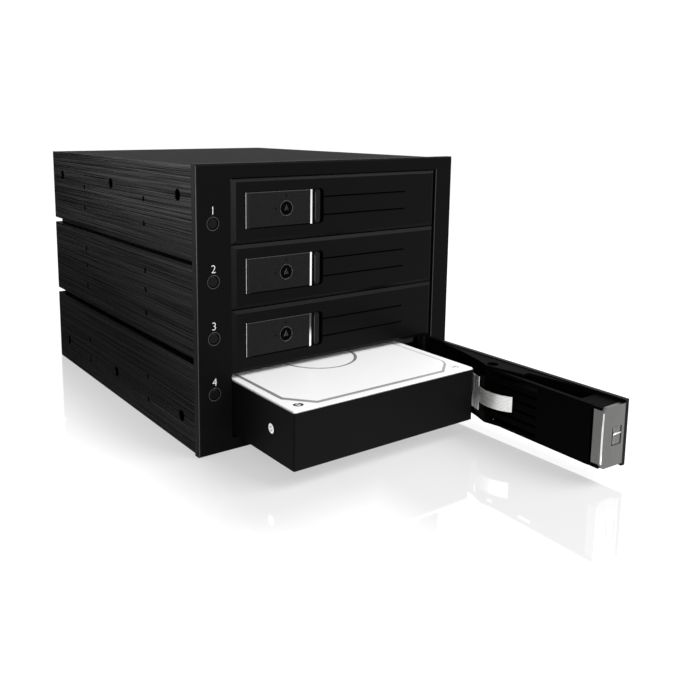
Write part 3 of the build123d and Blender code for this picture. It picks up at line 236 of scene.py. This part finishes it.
def moulded_grain(mat, grain_mm, depth, dark, light):
    """Spark-eroded mould texture: fine even grain and a slight mottle in the colour."""
    tree = mat.node_tree
    noise = node(tree, "ShaderNodeTexNoise", Vector=place_in_mm(tree, (grain_mm,) * 3),
                 Scale=1.0, Detail=2.0, Roughness=0.6)
    level = node(tree, "ShaderNodeMapRange", Value=noise.outputs["Fac"],
                 i1=GRAIN_RANGE[0], i2=GRAIN_RANGE[1])
    coloured_between(mat, level.outputs[0], dark, light)
    raised(mat, noise.outputs["Fac"], depth, grain_mm * MM * GRAIN_RELIEF)
    return mat


def brushed(mat, along, across_mm, length_mm, dark, light, depth, rough):
    """Brush lines along one axis: long thin streaks in colour, roughness and bump."""
    tree = mat.node_tree
    sizes = [across_mm] * 3
    sizes[along] = length_mm
    fine = node(tree, "ShaderNodeTexNoise", Vector=place_in_mm(tree, sizes),
                Scale=1.0, Detail=4.0, Roughness=0.7)
    level = node(tree, "ShaderNodeMapRange", Value=fine.outputs["Fac"],
                 i1=STREAK_RANGE[0], i2=STREAK_RANGE[1])
    coloured_between(mat, level.outputs[0], dark, light)
    rough_level = node(tree, "ShaderNodeMapRange", Value=level.outputs[0], i3=rough[1], i4=rough[0])
    tree.links.new(rough_level.outputs[0], tree.nodes["Principled BSDF"].inputs["Roughness"])
    raised(mat, fine.outputs["Fac"], depth, STREAK_RELIEF)
    return mat


def circuit_board(mat):
    """Green solder mask with darker copper areas under it."""
    tree = mat.node_tree
    cells = node(tree, "ShaderNodeTexVoronoi", {"distance": "MANHATTAN"},
                 Vector=place_in_mm(tree, (COPPER_AREA_MM,) * 3), Scale=1.0)
    coloured_between(mat, cells.outputs["Distance"], "#0f4a2b", "#07281a")
    return mat


ALONG_X, ALONG_Y, ALONG_Z = 0, 1, 2


def finishes():
    """Every finish on the object, by name."""
    made = {}
    # Moulded ABS with a spark-eroded texture: near black, with a soft dull sheen.
    made["bezel"] = moulded_grain(
        material("moulded_abs_bezel", "#070707", 0.45, specular=0.02),
        grain_mm=0.45, depth=0.3, dark="#060606", light="#090909")
    # The doors are the same ABS from a smoother mould, so their sheen is a little clearer.
    made["door"] = moulded_grain(
        material("moulded_abs_door", "#070707", 0.34, specular=0.03),
        grain_mm=0.45, depth=0.2, dark="#060606", light="#090909")
    # The lever is the same plastic with a deeper, paler texture.
    made["lever"] = moulded_grain(
        material("moulded_abs_lever", "#0f0f0f", 0.42, specular=0.05),
        grain_mm=0.4, depth=0.4, dark="#090909", light="#151515")
    # Glass-filled nylon behind the doors: blacker and flatter than the faces.
    made["moulding"] = moulded_grain(
        material("moulded_nylon_inner", "#040404", 0.5, specular=0.01),
        grain_mm=0.6, depth=0.12, dark="#030303", light="#060606")
    # Black anodised aluminium, brushed front to back: dark streaks with a grey metal sheen.
    made["side"] = brushed(
        material("brushed_anodised_aluminium", "#242426", 0.4, metallic=1.0, tint="#8c8c8c"),
        along=ALONG_Y, across_mm=0.3, length_mm=120.0,
        dark="#0e0e0e", light="#464646", depth=0.25, rough=(0.3, 0.45))
    # Powder-coated steel sheet: smooth dark grey, dull at a glancing view.
    made["cover"] = moulded_grain(
        material("powder_coated_steel", "#1b1b1b", 0.7, specular=0.02),
        grain_mm=0.8, depth=0.08, dark="#1a1a1a", light="#1f1f1f")
    # The same coat inside the case, painted blacker as shade, with a faint shine.
    made["inner"] = moulded_grain(
        material("powder_coat_painted_shade", "#0c0c0c", 0.55, specular=0.08),
        grain_mm=0.8, depth=0.08, dark="#0a0a0a", light="#0f0f0f")
    # Nickel-plated die casting with a satin polish: mid grey, clear reflections.
    made["plated"] = brushed(
        material("nickel_plated_casting", "#686866", 0.24, metallic=1.0),
        along=ALONG_Z, across_mm=0.6, length_mm=9.0,
        dark="#626260", light="#6c6c6a", depth=0.04, rough=(0.22, 0.28))
    # The tongue has the same plate, worn smoother: mid grey, almost without lines.
    made["tongue"] = brushed(
        material("nickel_plated_tongue", "#6a6a68", 0.26, metallic=1.0),
        along=ALONG_Z, across_mm=1.5, length_mm=20.0,
        dark="#646462", light="#6c6c6a", depth=0.02, rough=(0.24, 0.3))
    # Chrome trim: a bright line on each side of the lever.
    made["trim"] = brushed(
        material("chrome_trim", "#e4e4e4", 0.15, metallic=1.0),
        along=ALONG_Z, across_mm=0.4, length_mm=8.0,
        dark="#dadada", light="#eeeeee", depth=0.02, rough=(0.12, 0.18))
    # Rolled stainless strip: bright, with fine rolling lines.
    made["steel"] = brushed(
        material("rolled_stainless", "#d0d0ce", 0.28, metallic=0.5),
        along=ALONG_Y, across_mm=0.25, length_mm=14.0,
        dark="#cbcbc9", light="#d6d6d4", depth=0.02, rough=(0.26, 0.3))
    # Blackened steel: dark as the case, with a small hard highlight on each screw.
    made["blackened"] = moulded_grain(
        material("blackened_screw", "#080808", 0.4, metallic=1.0, tint="#202020"),
        grain_mm=0.5, depth=0.1, dark="#060606", light="#0b0b0b")
    # Zinc plate: pale grey metal with a faint crystalline cloud.
    made["zinc"] = brushed(
        material("zinc_plate", "#b6b8ba", 0.3, metallic=1.0),
        along=ALONG_X, across_mm=0.8, length_mm=5.0,
        dark="#9c9ea2", light="#c2c4c6", depth=0.05, rough=(0.25, 0.38))
    # Pressed aluminium lid: nearly white, with a fine bead-blasted satin.
    made["lid"] = moulded_grain(
        material("blasted_aluminium_lid", "#f0f0f0", 0.45, metallic=0.12),
        grain_mm=0.35, depth=0.06, dark="#ececec", light="#f4f4f4")
    # Painted shade: the lid's pressed shoulders turn away from the light, so the same satin is
    # painted mid grey.
    made["bead"] = moulded_grain(
        material("pressed_aluminium_painted_shade", "#8e8e8e", 0.35, metallic=0.3),
        grain_mm=0.35, depth=0.04, dark="#888888", light="#949494")
    # Electrocoated casting: flat black with a slight tooth.
    made["casting"] = moulded_grain(
        material("coated_casting", "#0b0b0b", 0.5, specular=0.02),
        grain_mm=0.5, depth=0.12, dark="#0a0a0a", light="#0d0d0d")
    # Glass epoxy board: dark green with a soft shine.
    made["board"] = circuit_board(material("glass_epoxy_board", "#0d3a22", 0.35, specular=0.4))
    # Moulded nylon: black, a little shinier than the case.
    made["socket"] = moulded_grain(
        material("nylon_connector", "#0c0c0c", 0.45, specular=0.15),
        grain_mm=0.5, depth=0.1, dark="#0a0a0a", light="#0f0f0f")
    # Smoked acrylic: a smooth dark lens, a little paler than the bezel.
    made["lens"] = moulded_grain(
        material("smoked_acrylic_lens", "#0c0c0c", 0.2, specular=0.06),
        grain_mm=1.0, depth=0.02, dark="#0a0a0a", light="#0e0e0e")
    # Blackened zinc casting: the lock's face is the darkest metal on the door.
    made["lock"] = brushed(
        material("blackened_lock", "#080808", 0.35, metallic=1.0, tint="#404040"),
        along=ALONG_X, across_mm=0.3, length_mm=2.0,
        dark="#050505", light="#0b0b0b", depth=0.05, rough=(0.3, 0.42))
    # The lock's rim: a metal ring, painted grey and lighter than the lock as its highlight, broken
    # up by the brush streaks.
    made["ring"] = brushed(
        material("satin_lock_ring", "#3c3c3c", 0.3, metallic=1.0),
        along=ALONG_X, across_mm=0.6, length_mm=1.2,
        dark="#161616", light="#5c5c5c", depth=0.03, rough=(0.25, 0.35))
    # Satin zinc: the arrowhead is dark grey on the black lock.
    made["arrow"] = brushed(
        material("satin_lock_arrow", "#2a2a2a", 0.3, metallic=1.0),
        along=ALONG_X, across_mm=0.3, length_mm=2.0,
        dark="#202020", light="#363636", depth=0.03, rough=(0.25, 0.35))
    # Painted highlight: a dark grey strip laid on edges of the moulding that catch the light, where
    # the faces are black.
    made["edge"] = moulded_grain(
        material("abs_painted_edge_highlight", "#2c2c2c", 0.35, specular=0.2),
        grain_mm=0.3, depth=0.05, dark="#262626", light="#343434")
    # Screen-printing ink: flat pale grey, a little uneven.
    made["print"] = moulded_grain(
        material("screen_print_grey", "#b4b4b4", 0.6, specular=0.2),
        grain_mm=0.3, depth=0.05, dark="#a6a6a6", light="#c0c0c0")
    # Painted shade: a near-black fill laid in grooves, slots and gaps where the real part only
    # falls into shade, so hardly any light comes back out.
    made["recess"] = moulded_grain(
        material("painted_recess_shade", "#020202", 0.9, specular=0.0),
        grain_mm=0.3, depth=0.05, dark="#010101", light="#030303")
    return made


NODE_FINISH = {
    "bezel": "bezel", "hinge_rod": "blackened", "side_screws": "blackened",
    "left_side_panel": "side", "right_side_panel": "side",
    "top_cover": "cover", "bottom_cover": "cover", "rear_panel": "cover", "rear_screws": "zinc",
    # The left bay wall wears the powder coat painted blacker as shade.
    "left_bay_wall": "inner", "right_bay_wall": "zinc", "drive_rails": "socket",
    "backplane": "board", "drive_sockets": "socket", "data_sockets": "socket",
    "power_sockets": "socket", "lamp_lenses": "lens", "lamp_board": "board",
    "fan_housing": "socket", "fan_rotor": "socket", "fan_guard": "zinc", "fan_screws": "zinc",
    "drive_casting": "casting", "drive_board": "board", "drive_plug": "socket",
    "drive_lid": "lid", "drive_lid_screws": "trim", "drive_side_screws": "trim",
}
DOOR_FINISH = {
    "door_{}_face": "door", "door_{}_frame": "moulding", "door_{}_end_cap": "plated",
    "door_{}_spring": "steel", "latch_{}_lever": "lever", "latch_{}_trim": "trim",
    "lock_{}_core": "lock", "latch_{}_tongue": "tongue",
}


def dress_nodes():
    """Gives each CAD node its finish, in its own material slot."""
    wanted = dict(NODE_FINISH)
    for door in DOORS:
        for name, finish in DOOR_FINISH.items():
            wanted[name.format(door)] = finish
    for name, finish in wanted.items():
        mesh = nodes[name].data
        mesh.materials.clear()
        mesh.materials.append(made[finish])
        smooth_by_angle(nodes[name])


# Modelling helpers
SMOOTH_DEGREES = 28
FACES_ONE_WAY = 0.9


def only(piece):
    """Selects one object and nothing else."""
    bpy.ops.object.select_all(action="DESELECT")
    piece.select_set(True)
    bpy.context.view_layer.objects.active = piece


def smooth_by_angle(piece):
    """Rounds read as round and flats stay flat."""
    only(piece)
    bpy.ops.object.shade_smooth_by_angle(angle=math.radians(SMOOTH_DEGREES))


def applied(piece):
    """Puts a piece's place, turn and scale into its mesh."""
    only(piece)
    bpy.ops.object.transform_apply(location=True, rotation=True, scale=True)


def select_faces(piece, test):
    """In edit mode, selects the faces whose normal passes a test."""
    bpy.ops.mesh.select_mode(type="FACE")
    bpy.ops.mesh.select_all(action="DESELECT")
    bpy.ops.object.mode_set(mode="OBJECT")
    for face in piece.data.polygons:
        face.select = test(face.normal)
    bpy.ops.object.mode_set(mode="EDIT")


def select_edges(piece, test):
    """In edit mode, selects the edges whose two ends pass a test."""
    bpy.ops.mesh.select_mode(type="EDGE")
    bpy.ops.mesh.select_all(action="DESELECT")
    bpy.ops.object.mode_set(mode="OBJECT")
    corners = piece.data.vertices
    for edge in piece.data.edges:
        edge.select = test(corners[edge.vertices[0]].co, corners[edge.vertices[1]].co)
    bpy.ops.object.mode_set(mode="EDIT")


def bar(low, high, rounding=0.12):
    """A bar between two corners in millimetres, with its edges rounded."""
    low, high = Vector(low) * MM, Vector(high) * MM
    bpy.ops.object.select_all(action="DESELECT")
    bpy.ops.mesh.primitive_cube_add(size=1, location=(low + high) / 2, scale=high - low)
    piece = bpy.context.object
    applied(piece)
    bpy.ops.object.mode_set(mode="EDIT")
    bpy.ops.mesh.select_all(action="SELECT")
    bpy.ops.mesh.bevel(offset=rounding * MM, segments=2, affect="EDGES")
    bpy.ops.object.mode_set(mode="OBJECT")
    return piece


def finished(piece, name, finish, body):
    """Names a piece, gives it its finish and lets it ride on a body."""
    piece.name = name
    piece.data.materials.clear()
    piece.data.materials.append(made[finish])
    smooth_by_angle(piece)
    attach(piece, body)
    return piece


def copied(piece, place):
    """A copy with its own mesh, moved by a matrix that goes into the mesh."""
    twin = piece.copy()
    twin.data = piece.data.copy()
    bpy.context.scene.collection.objects.link(twin)
    twin.data.transform(place)
    return twin


def dropped(piece):
    """Removes a piece that was only there to be copied."""
    bpy.data.objects.remove(piece, do_unlink=True)


# Lamp numbers, and the rings round the lamps in painted highlight grey
FIGURE_RISE = 5.4 * MM
FIGURE_HEIGHT = 3.5 * MM
CAP_SHARE = 0.69
STROKE_THINNING = 0.012
INK = 0.04 * MM
LENS_RING = 2.85 * MM
LENS_WIRE = 0.15 * MM
RING_FLATNESS = 0.4


def printed_figure(text, at):
    """A screen-printed figure that faces the front."""
    bpy.ops.object.select_all(action="DESELECT")
    bpy.ops.object.text_add(location=(0, 0, 0))
    figure = bpy.context.object
    figure.data.body = text
    figure.data.align_x = "CENTER"
    figure.data.align_y = "CENTER"
    figure.data.size = FIGURE_HEIGHT / CAP_SHARE
    figure.data.extrude = INK
    figure.data.offset = -STROKE_THINNING * figure.data.size
    bpy.ops.object.convert(target="MESH")
    figure = bpy.context.object
    figure.rotation_euler = (math.pi / 2, 0, 0)
    figure.location = at
    applied(figure)
    return figure


def turned_ring(radius, wire):
    """A thin flat ring that faces the front, about the origin."""
    bpy.ops.object.select_all(action="DESELECT")
    bpy.ops.mesh.primitive_torus_add(major_segments=48, minor_segments=8, major_radius=radius,
                                     minor_radius=wire, rotation=(math.pi / 2, 0, 0))
    ring = bpy.context.object
    applied(ring)
    ring.data.transform(Matrix.Diagonal((1.0, RING_FLATNESS, 1.0, 1.0)))
    return ring


def lamp_numbers():
    """A plain number over each lamp, and a rim round its lens, grey as a painted highlight."""
    low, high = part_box("lamp_lenses")
    middle = (low.x + high.x) / 2
    radius = (high.x - low.x) / 2
    pitch = (high.z - low.z - 2 * radius) / (len(DOORS) - 1)
    for door in DOORS:
        level = high.z - radius - (door - 1) * pitch
        figure = printed_figure(str(door), (middle, BEZEL_FACE_Y - INK / 2, level + FIGURE_RISE))
        finished(figure, f"lamp_number_{door}", "print", "cage")
        ring = turned_ring(LENS_RING, LENS_WIRE)
        ring.data.transform(Matrix.Translation((middle, BEZEL_FACE_Y, level)))
        finished(ring, f"lamp_ring_{door}", "edge", "cage")


# Marks on and round the locks
ARROW_RADIUS = 1.75 * MM
ARROW_DEPTH = 0.16 * MM
ARROW_WIDENING = 0.8
ARROW_HEIGHTENING = 1.05
RING_RADIUS = 3.35 * MM
RING_WIRE = 0.2 * MM
TICK_LENGTH = 1.3 * MM
TICK_WIDTH = 0.4 * MM
TICK_ROUNDING = 0.3 * TICK_WIDTH
TICK_FROM_LOCK = 5.6 * MM
LEVER_SHY = 0.15 * MM


def lock_arrow():
    """A raised arrowhead that points up and faces the front, with its centre at the origin."""
    bpy.ops.object.select_all(action="DESELECT")
    bpy.ops.mesh.primitive_cylinder_add(vertices=3, radius=ARROW_RADIUS, depth=ARROW_DEPTH,
                                        rotation=(math.pi / 2, 0, 0))
    arrow = bpy.context.object
    applied(arrow)
    bpy.ops.object.mode_set(mode="EDIT")
    select_faces(arrow, lambda normal: normal.y < -FACES_ONE_WAY)
    bpy.ops.mesh.inset(thickness=ARROW_DEPTH, depth=ARROW_DEPTH / 2)
    bpy.ops.object.mode_set(mode="OBJECT")
    arrow.data.transform(Matrix.Diagonal((ARROW_WIDENING, 1.0, ARROW_HEIGHTENING, 1.0)))
    return arrow


def lock_tick(turn):
    """A short engraved tick beside the lock, turned about the lock's axis from the top."""
    bpy.ops.object.select_all(action="DESELECT")
    bpy.ops.mesh.primitive_cube_add(size=1, location=(0, 0, TICK_FROM_LOCK),
                                    scale=(TICK_WIDTH, INK * 2, TICK_LENGTH))
    tick = bpy.context.object
    applied(tick)
    bpy.ops.object.mode_set(mode="EDIT")
    select_edges(tick, lambda a, b: abs(a.y - b.y) > INK)
    bpy.ops.mesh.bevel(offset=TICK_ROUNDING, segments=2, affect="EDGES")
    bpy.ops.object.mode_set(mode="OBJECT")
    tick.data.transform(Matrix.Rotation(turn, 4, "Y"))
    return tick


def facing(box, door):
    """The place of a thing that is drawn facing the front, on the front of a door's node."""
    low, high = box
    middle = (low + high) / 2
    if door == OPEN_DOOR:
        at = Matrix.Translation((high.x, middle.y, middle.z))
        return at @ Matrix.Rotation(math.pi / 2, 4, "Z")
    return Matrix.Translation((middle.x, low.y, middle.z))


def lock_marks():
    """Each lock's arrowhead and rim, the rim grey as a painted highlight, and the ticks on its
    lever for the two ends of its turn.
    """
    arrow = lock_arrow()
    ring = turned_ring(RING_RADIUS, RING_WIRE)
    ticks = {"top": lock_tick(0), "left": lock_tick(-math.pi / 2)}
    for door in DOORS:
        lock = f"lock_{door}"
        place = facing(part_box(f"lock_{door}_core"), door)
        finished(copied(arrow, place), f"lock_{door}_arrow", "arrow", lock)
        finished(copied(ring, place), f"lock_{door}_ring", "ring", lock)
        on_lever = place @ Matrix.Translation((0, LEVER_SHY, 0))
        for side, tick in ticks.items():
            finished(copied(tick, on_lever), f"lever_{door}_tick_{side}", "recess",
                     f"lever_{door}")
    for piece in (arrow, ring, *ticks.values()):
        dropped(piece)


# Pieces on the doors, each with two corners in millimetres from the hinge, from the face
# backwards and from the middle
CAP_BEAD = ((-116.62, 15.75, -10.9), (-115.85, 16.37, 10.9))
TONGUE_RIDGE = ((-117.4, 5.0, 0.6), (-116.8, 10.2, 1.25))
TONGUE_SLOT_SHADE = ((-117.2, 10.31, -3.85), (-115.5, 10.49, 3.85))
# A thin near-black sheet of painted shade at the back of the tongue's slot.
DUST_STRIP = ((-104.0, 3.1, -12.9), (-56.5, 12.0, -12.35))
# A near-black sheet of painted shade behind the louvres, where the backdrop would otherwise show
# through.
LOUVRE_SHADE = ((-84.2, 11.45, -8.3), (-55.8, 11.75, 8.3))
# A thin grey strip of painted highlight along the lever's top edge.
LEVER_TOP_HIGHLIGHT = ((-109.6, 0.09, 7.5), (-76.0, 0.4, 7.82))
# Near-black bars of painted shade laid in the face's upper and lower grooves.
UPPER_GROOVE_SHADE = ((-68.3, 0.25, 3.87), (-18.25, 0.78, 4.53))
LOWER_GROOVE_SHADE = ((-68.3, 0.25, -4.53), (-18.25, 0.78, -3.87))
# A thin grey strip of painted highlight along the grip's left edge.
GRIP_EDGE_HIGHLIGHT = ((-73.2, 0.09, -6.3), (-72.8, 0.4, 6.3))
SPRING_HEEL = ((-47.95, 13.1, -8.05), (-44.0, 13.5, 8.05))
HEEL_SHORTENING = 0.25
HEEL_SLOPE = math.atan2(15.9 - 13.1, 51.6 - 44.0)


def door_place(door):
    """From a drawing about the hinge, with the door shut, to the door where it stands."""
    low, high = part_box("hinge_rod")
    pin = (low + high) / 2
    low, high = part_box(f"door_{door}_face")
    shut = Matrix.Translation((0, BEZEL_FACE_Y - pin.y, 0))
    turn = Matrix.Rotation(math.pi / 2 if door == OPEN_DOOR else 0, 4, "Z")
    return Matrix.Translation((pin.x, pin.y, (low.z + high.z) / 2)) @ turn @ shut


def spring_heel():
    """The end of the leaf spring's foot, which runs on past its pad towards the hinge."""
    low, high = SPRING_HEEL
    heel = bar(low, (high[0] - HEEL_SHORTENING, *high[1:]))
    corner = Vector((high[0], low[1], 0)) * MM
    turn = Matrix.Rotation(-HEEL_SLOPE, 4, "Z")
    heel.data.transform(Matrix.Translation(corner) @ turn @ Matrix.Translation(-corner))
    return heel


def door_details():
    """The trim, painted highlight strips, painted shade fills and small fillings of one door, drawn
    once and copied to all four.
    """
    drawn = (
        (bar(*CAP_BEAD, 0.28), "door_{}_cap_bead", "trim", "door_{}", "plated"),
        (bar(*TONGUE_RIDGE, 0.2), "tongue_{}_ridge", "trim", "tongue_{}", "plated"),
        (bar(*TONGUE_SLOT_SHADE, 0.03), "door_{}_tongue_seal", "recess", "door_{}", "door_black"),
        (spring_heel(), "door_{}_spring_heel", "steel", "door_{}", "steel"),
        (bar(*DUST_STRIP), "door_{}_dust_strip", "moulding", "door_{}", "door_black"),
        (bar(*LOUVRE_SHADE), "door_{}_louvre_screen", "recess", "door_{}", "door_black"),
        (bar(*LEVER_TOP_HIGHLIGHT), "lever_{}_top_edge", "edge", "lever_{}", "door_black"),
        (bar(*UPPER_GROOVE_SHADE, 0.06), "door_{}_upper_groove", "recess", "door_{}", "door_black"),
        (bar(*LOWER_GROOVE_SHADE, 0.06), "door_{}_lower_groove", "recess", "door_{}", "door_black"),
        (bar(*GRIP_EDGE_HIGHLIGHT), "lever_{}_grip_edge", "edge", "lever_{}", "door_black"),
    )
    for piece, name, finish, body, slot in drawn:
        for door in DOORS:
            standing = copied(piece, door_place(door))
            finished(standing, name.format(door), finish, body.format(door))
        dropped(piece)


# Painted highlights on the bezel's edges, in millimetres
EDGE_PROUD = 0.04
EDGE_DEPTH = 0.3
LEFT_EDGE_PROUD = 0.03
LEFT_EDGE_WIDTH = 0.35
LEFT_EDGE_END = 0.5
OPENING_FROM_HINGE = 2.9
OPENING_EDGE_WIDTH = 0.32
OPENING_ENDS = (6.4, 6.1)


def bezel_edges():
    """Painted highlight strips on the bezel's front edges: its left end and the right side of its
    opening.
    """
    low, high = (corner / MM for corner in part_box("bezel"))
    rod_low, rod_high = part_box("hinge_rod")
    opening = (rod_low.x + rod_high.x) / 2 / MM + OPENING_FROM_HINGE
    front, back = low.y - EDGE_PROUD, low.y + EDGE_DEPTH
    left = bar((low.x - LEFT_EDGE_PROUD, front, low.z + LEFT_EDGE_END),
               (low.x + LEFT_EDGE_WIDTH, back, high.z - LEFT_EDGE_END))
    finished(left, "bezel_left_edge_highlight", "edge", "cage")
    right = bar((opening - EDGE_PROUD, front, low.z + OPENING_ENDS[0]),
                (opening + OPENING_EDGE_WIDTH, back, high.z - OPENING_ENDS[1]))
    finished(right, "opening_right_edge_highlight", "edge", "cage")


# Drive lid, in millimetres from the drive's left front corner
LID_RISE = 0.4
BEAD_OUTSIDE = ((3.7, 14.85), (13.85, 3.2), (85.64, 3.2), (95.16, 11.24), (97.3, 15.41),
                (97.3, 131.4), (88.61, 143.2), (12.39, 143.2), (3.7, 131.4))
BEAD_WIDTH = 1.2
BEAD_SHEET = 0.06
BEAD_PROUD = 0.02
SPINDLE = (50.8, 54.7)
SPINDLE_RING = 19.0
RING_WIDTH = 0.75
SPINDLE_FLATNESS = 0.3
SPINDLE_SINK = 0.22
LID_SCREW_INSET = 6.3
LID_MIDDLE_SCREW = 80.85
SCREW_FACE = 1.12
SCREW_FACE_DEPTH = 0.36
SCREW_FACE_SINK = 0.2
SCREW_RIM = (0.2, 0.04)
# A near-black bar of painted shade stands for each screw's slot.
SCREW_SLOT_SHADE = ((-0.95, -0.32, 0.1), (0.95, 0.32, 0.28))
SCREW_SLOT_ROUNDING = 0.05
SEAM_DROP = 0.8
SEAM_HEIGHT = 0.35
SEAM_PROUD = 0.04
SEAM_DEPTH = 0.3
SEAM_END = 0.5
SEAM_ROUNDING = 0.08


def lid_top():
    """The level of the lid's raised panel."""
    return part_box("drive_lid")[1].z


def drive_corner():
    """The drive's left front corner, on the table."""
    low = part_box("drive_casting")[0]
    return Vector((low.x, low.y, 0))


def lid_bead():
    """The sloping shoulder pressed round the lid's raised panel, in the lid's satin painted grey as
    shade.
    """
    bpy.ops.object.select_all(action="DESELECT")
    bpy.ops.mesh.primitive_circle_add(vertices=len(BEAD_OUTSIDE), radius=1, fill_type="NGON")
    bead = bpy.context.object
    outside = [Vector((x, y, 0)) * MM for x, y in BEAD_OUTSIDE]
    for corner, point in zip(bead.data.vertices, outside):
        corner.co = point
    bpy.ops.object.mode_set(mode="EDIT")
    bpy.ops.mesh.select_all(action="SELECT")
    bpy.ops.mesh.inset(thickness=BEAD_WIDTH * MM, depth=0)
    bpy.ops.mesh.delete(type="FACE")
    bpy.ops.object.mode_set(mode="OBJECT")
    for corner in bead.data.vertices:
        if min((corner.co - point).length for point in outside) < BEAD_WIDTH * MM / 2:
            corner.co.z -= (LID_RISE - BEAD_SHEET) * MM
    shell = bead.modifiers.new("sheet", "SOLIDIFY")
    shell.thickness = BEAD_SHEET * MM
    shell.offset = 0
    only(bead)
    bpy.ops.object.modifier_apply(modifier=shell.name)
    bpy.ops.object.mode_set(mode="EDIT")
    bpy.ops.mesh.select_all(action="SELECT")
    bpy.ops.mesh.normals_make_consistent(inside=False)
    bpy.ops.object.mode_set(mode="OBJECT")
    rise = Vector((0, 0, lid_top() + BEAD_PROUD * MM))
    bead.data.transform(Matrix.Translation(drive_corner() + rise))
    return bead


def spindle_ring():
    """The rounded ring pressed into the lid about the spindle, in the lid's satin painted grey as
    shade.
    """
    bpy.ops.object.select_all(action="DESELECT")
    bpy.ops.mesh.primitive_torus_add(major_segments=72, minor_segments=10,
                                     major_radius=SPINDLE_RING * MM, minor_radius=RING_WIDTH * MM)
    ring = bpy.context.object
    ring.data.transform(Matrix.Diagonal((1, 1, SPINDLE_FLATNESS, 1)))
    middle = drive_corner() + Vector((*SPINDLE, 0)) * MM
    level = lid_top() - SPINDLE_SINK * MM
    ring.data.transform(Matrix.Translation((middle.x, middle.y, level)))
    return ring


def lid_screw_faces():
    """The bright faces of the lid's screws, each with a dark bar of painted shade for its slot."""
    corner = drive_corner()
    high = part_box("drive_casting")[1]
    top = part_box("drive_lid_screws")[1].z
    inset = LID_SCREW_INSET * MM
    bpy.ops.object.select_all(action="DESELECT")
    bpy.ops.mesh.primitive_cylinder_add(vertices=24, radius=SCREW_FACE * MM,
                                        depth=SCREW_FACE_DEPTH * MM)
    face = bpy.context.object
    bpy.ops.object.mode_set(mode="EDIT")
    select_faces(face, lambda normal: normal.z > FACES_ONE_WAY)
    bpy.ops.mesh.inset(thickness=SCREW_RIM[0] * MM, depth=SCREW_RIM[1] * MM)
    bpy.ops.object.mode_set(mode="OBJECT")
    slot = bar(*SCREW_SLOT_SHADE, SCREW_SLOT_ROUNDING)
    columns = (corner.x + inset, high.x - inset)
    rows = (corner.y + inset, corner.y + LID_MIDDLE_SCREW * MM, high.y - inset)
    places = [(x, y, top - SCREW_FACE_SINK * MM) for x in columns for y in rows]
    for count, at in enumerate(places, 1):
        place = Matrix.Translation(at)
        finished(copied(face, place), f"lid_screw_face_{count}", "lid", "drive")
        finished(copied(slot, place), f"lid_screw_slot_shade_{count}", "recess", "drive")
    dropped(face)
    dropped(slot)


def lid_seam():
    """A grey line under the lid's front and left edges, in the lid's satin painted grey as shade.
    """
    low, high = (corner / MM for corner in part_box("drive_casting"))
    bottom = lid_top() / MM - LID_RISE - SEAM_DROP
    top = bottom + SEAM_HEIGHT
    front = bar((low.x + SEAM_END, low.y - SEAM_PROUD, bottom),
                (high.x - SEAM_END, low.y + SEAM_DEPTH, top), SEAM_ROUNDING)
    finished(front, "lid_edge_line_front", "bead", "drive")
    left = bar((low.x - SEAM_PROUD, low.y + SEAM_END, bottom),
               (low.x + SEAM_DEPTH, high.y - SEAM_END, top), SEAM_ROUNDING)
    finished(left, "lid_edge_line_left", "bead", "drive")


add_camera()
add_world()
add_floor()
for lamp_name, settings in LAMPS.items():
    add_light(lamp_name, *settings)
made = finishes()
dress_nodes()
lamp_numbers()
lock_marks()
door_details()
bezel_edges()
finished(lid_bead(), "lid_bead", "bead", "drive")
finished(spindle_ring(), "spindle_ring", "bead", "drive")
lid_screw_faces()
lid_seam()

scene = bpy.context.scene
scene.view_settings.view_transform = "Standard"
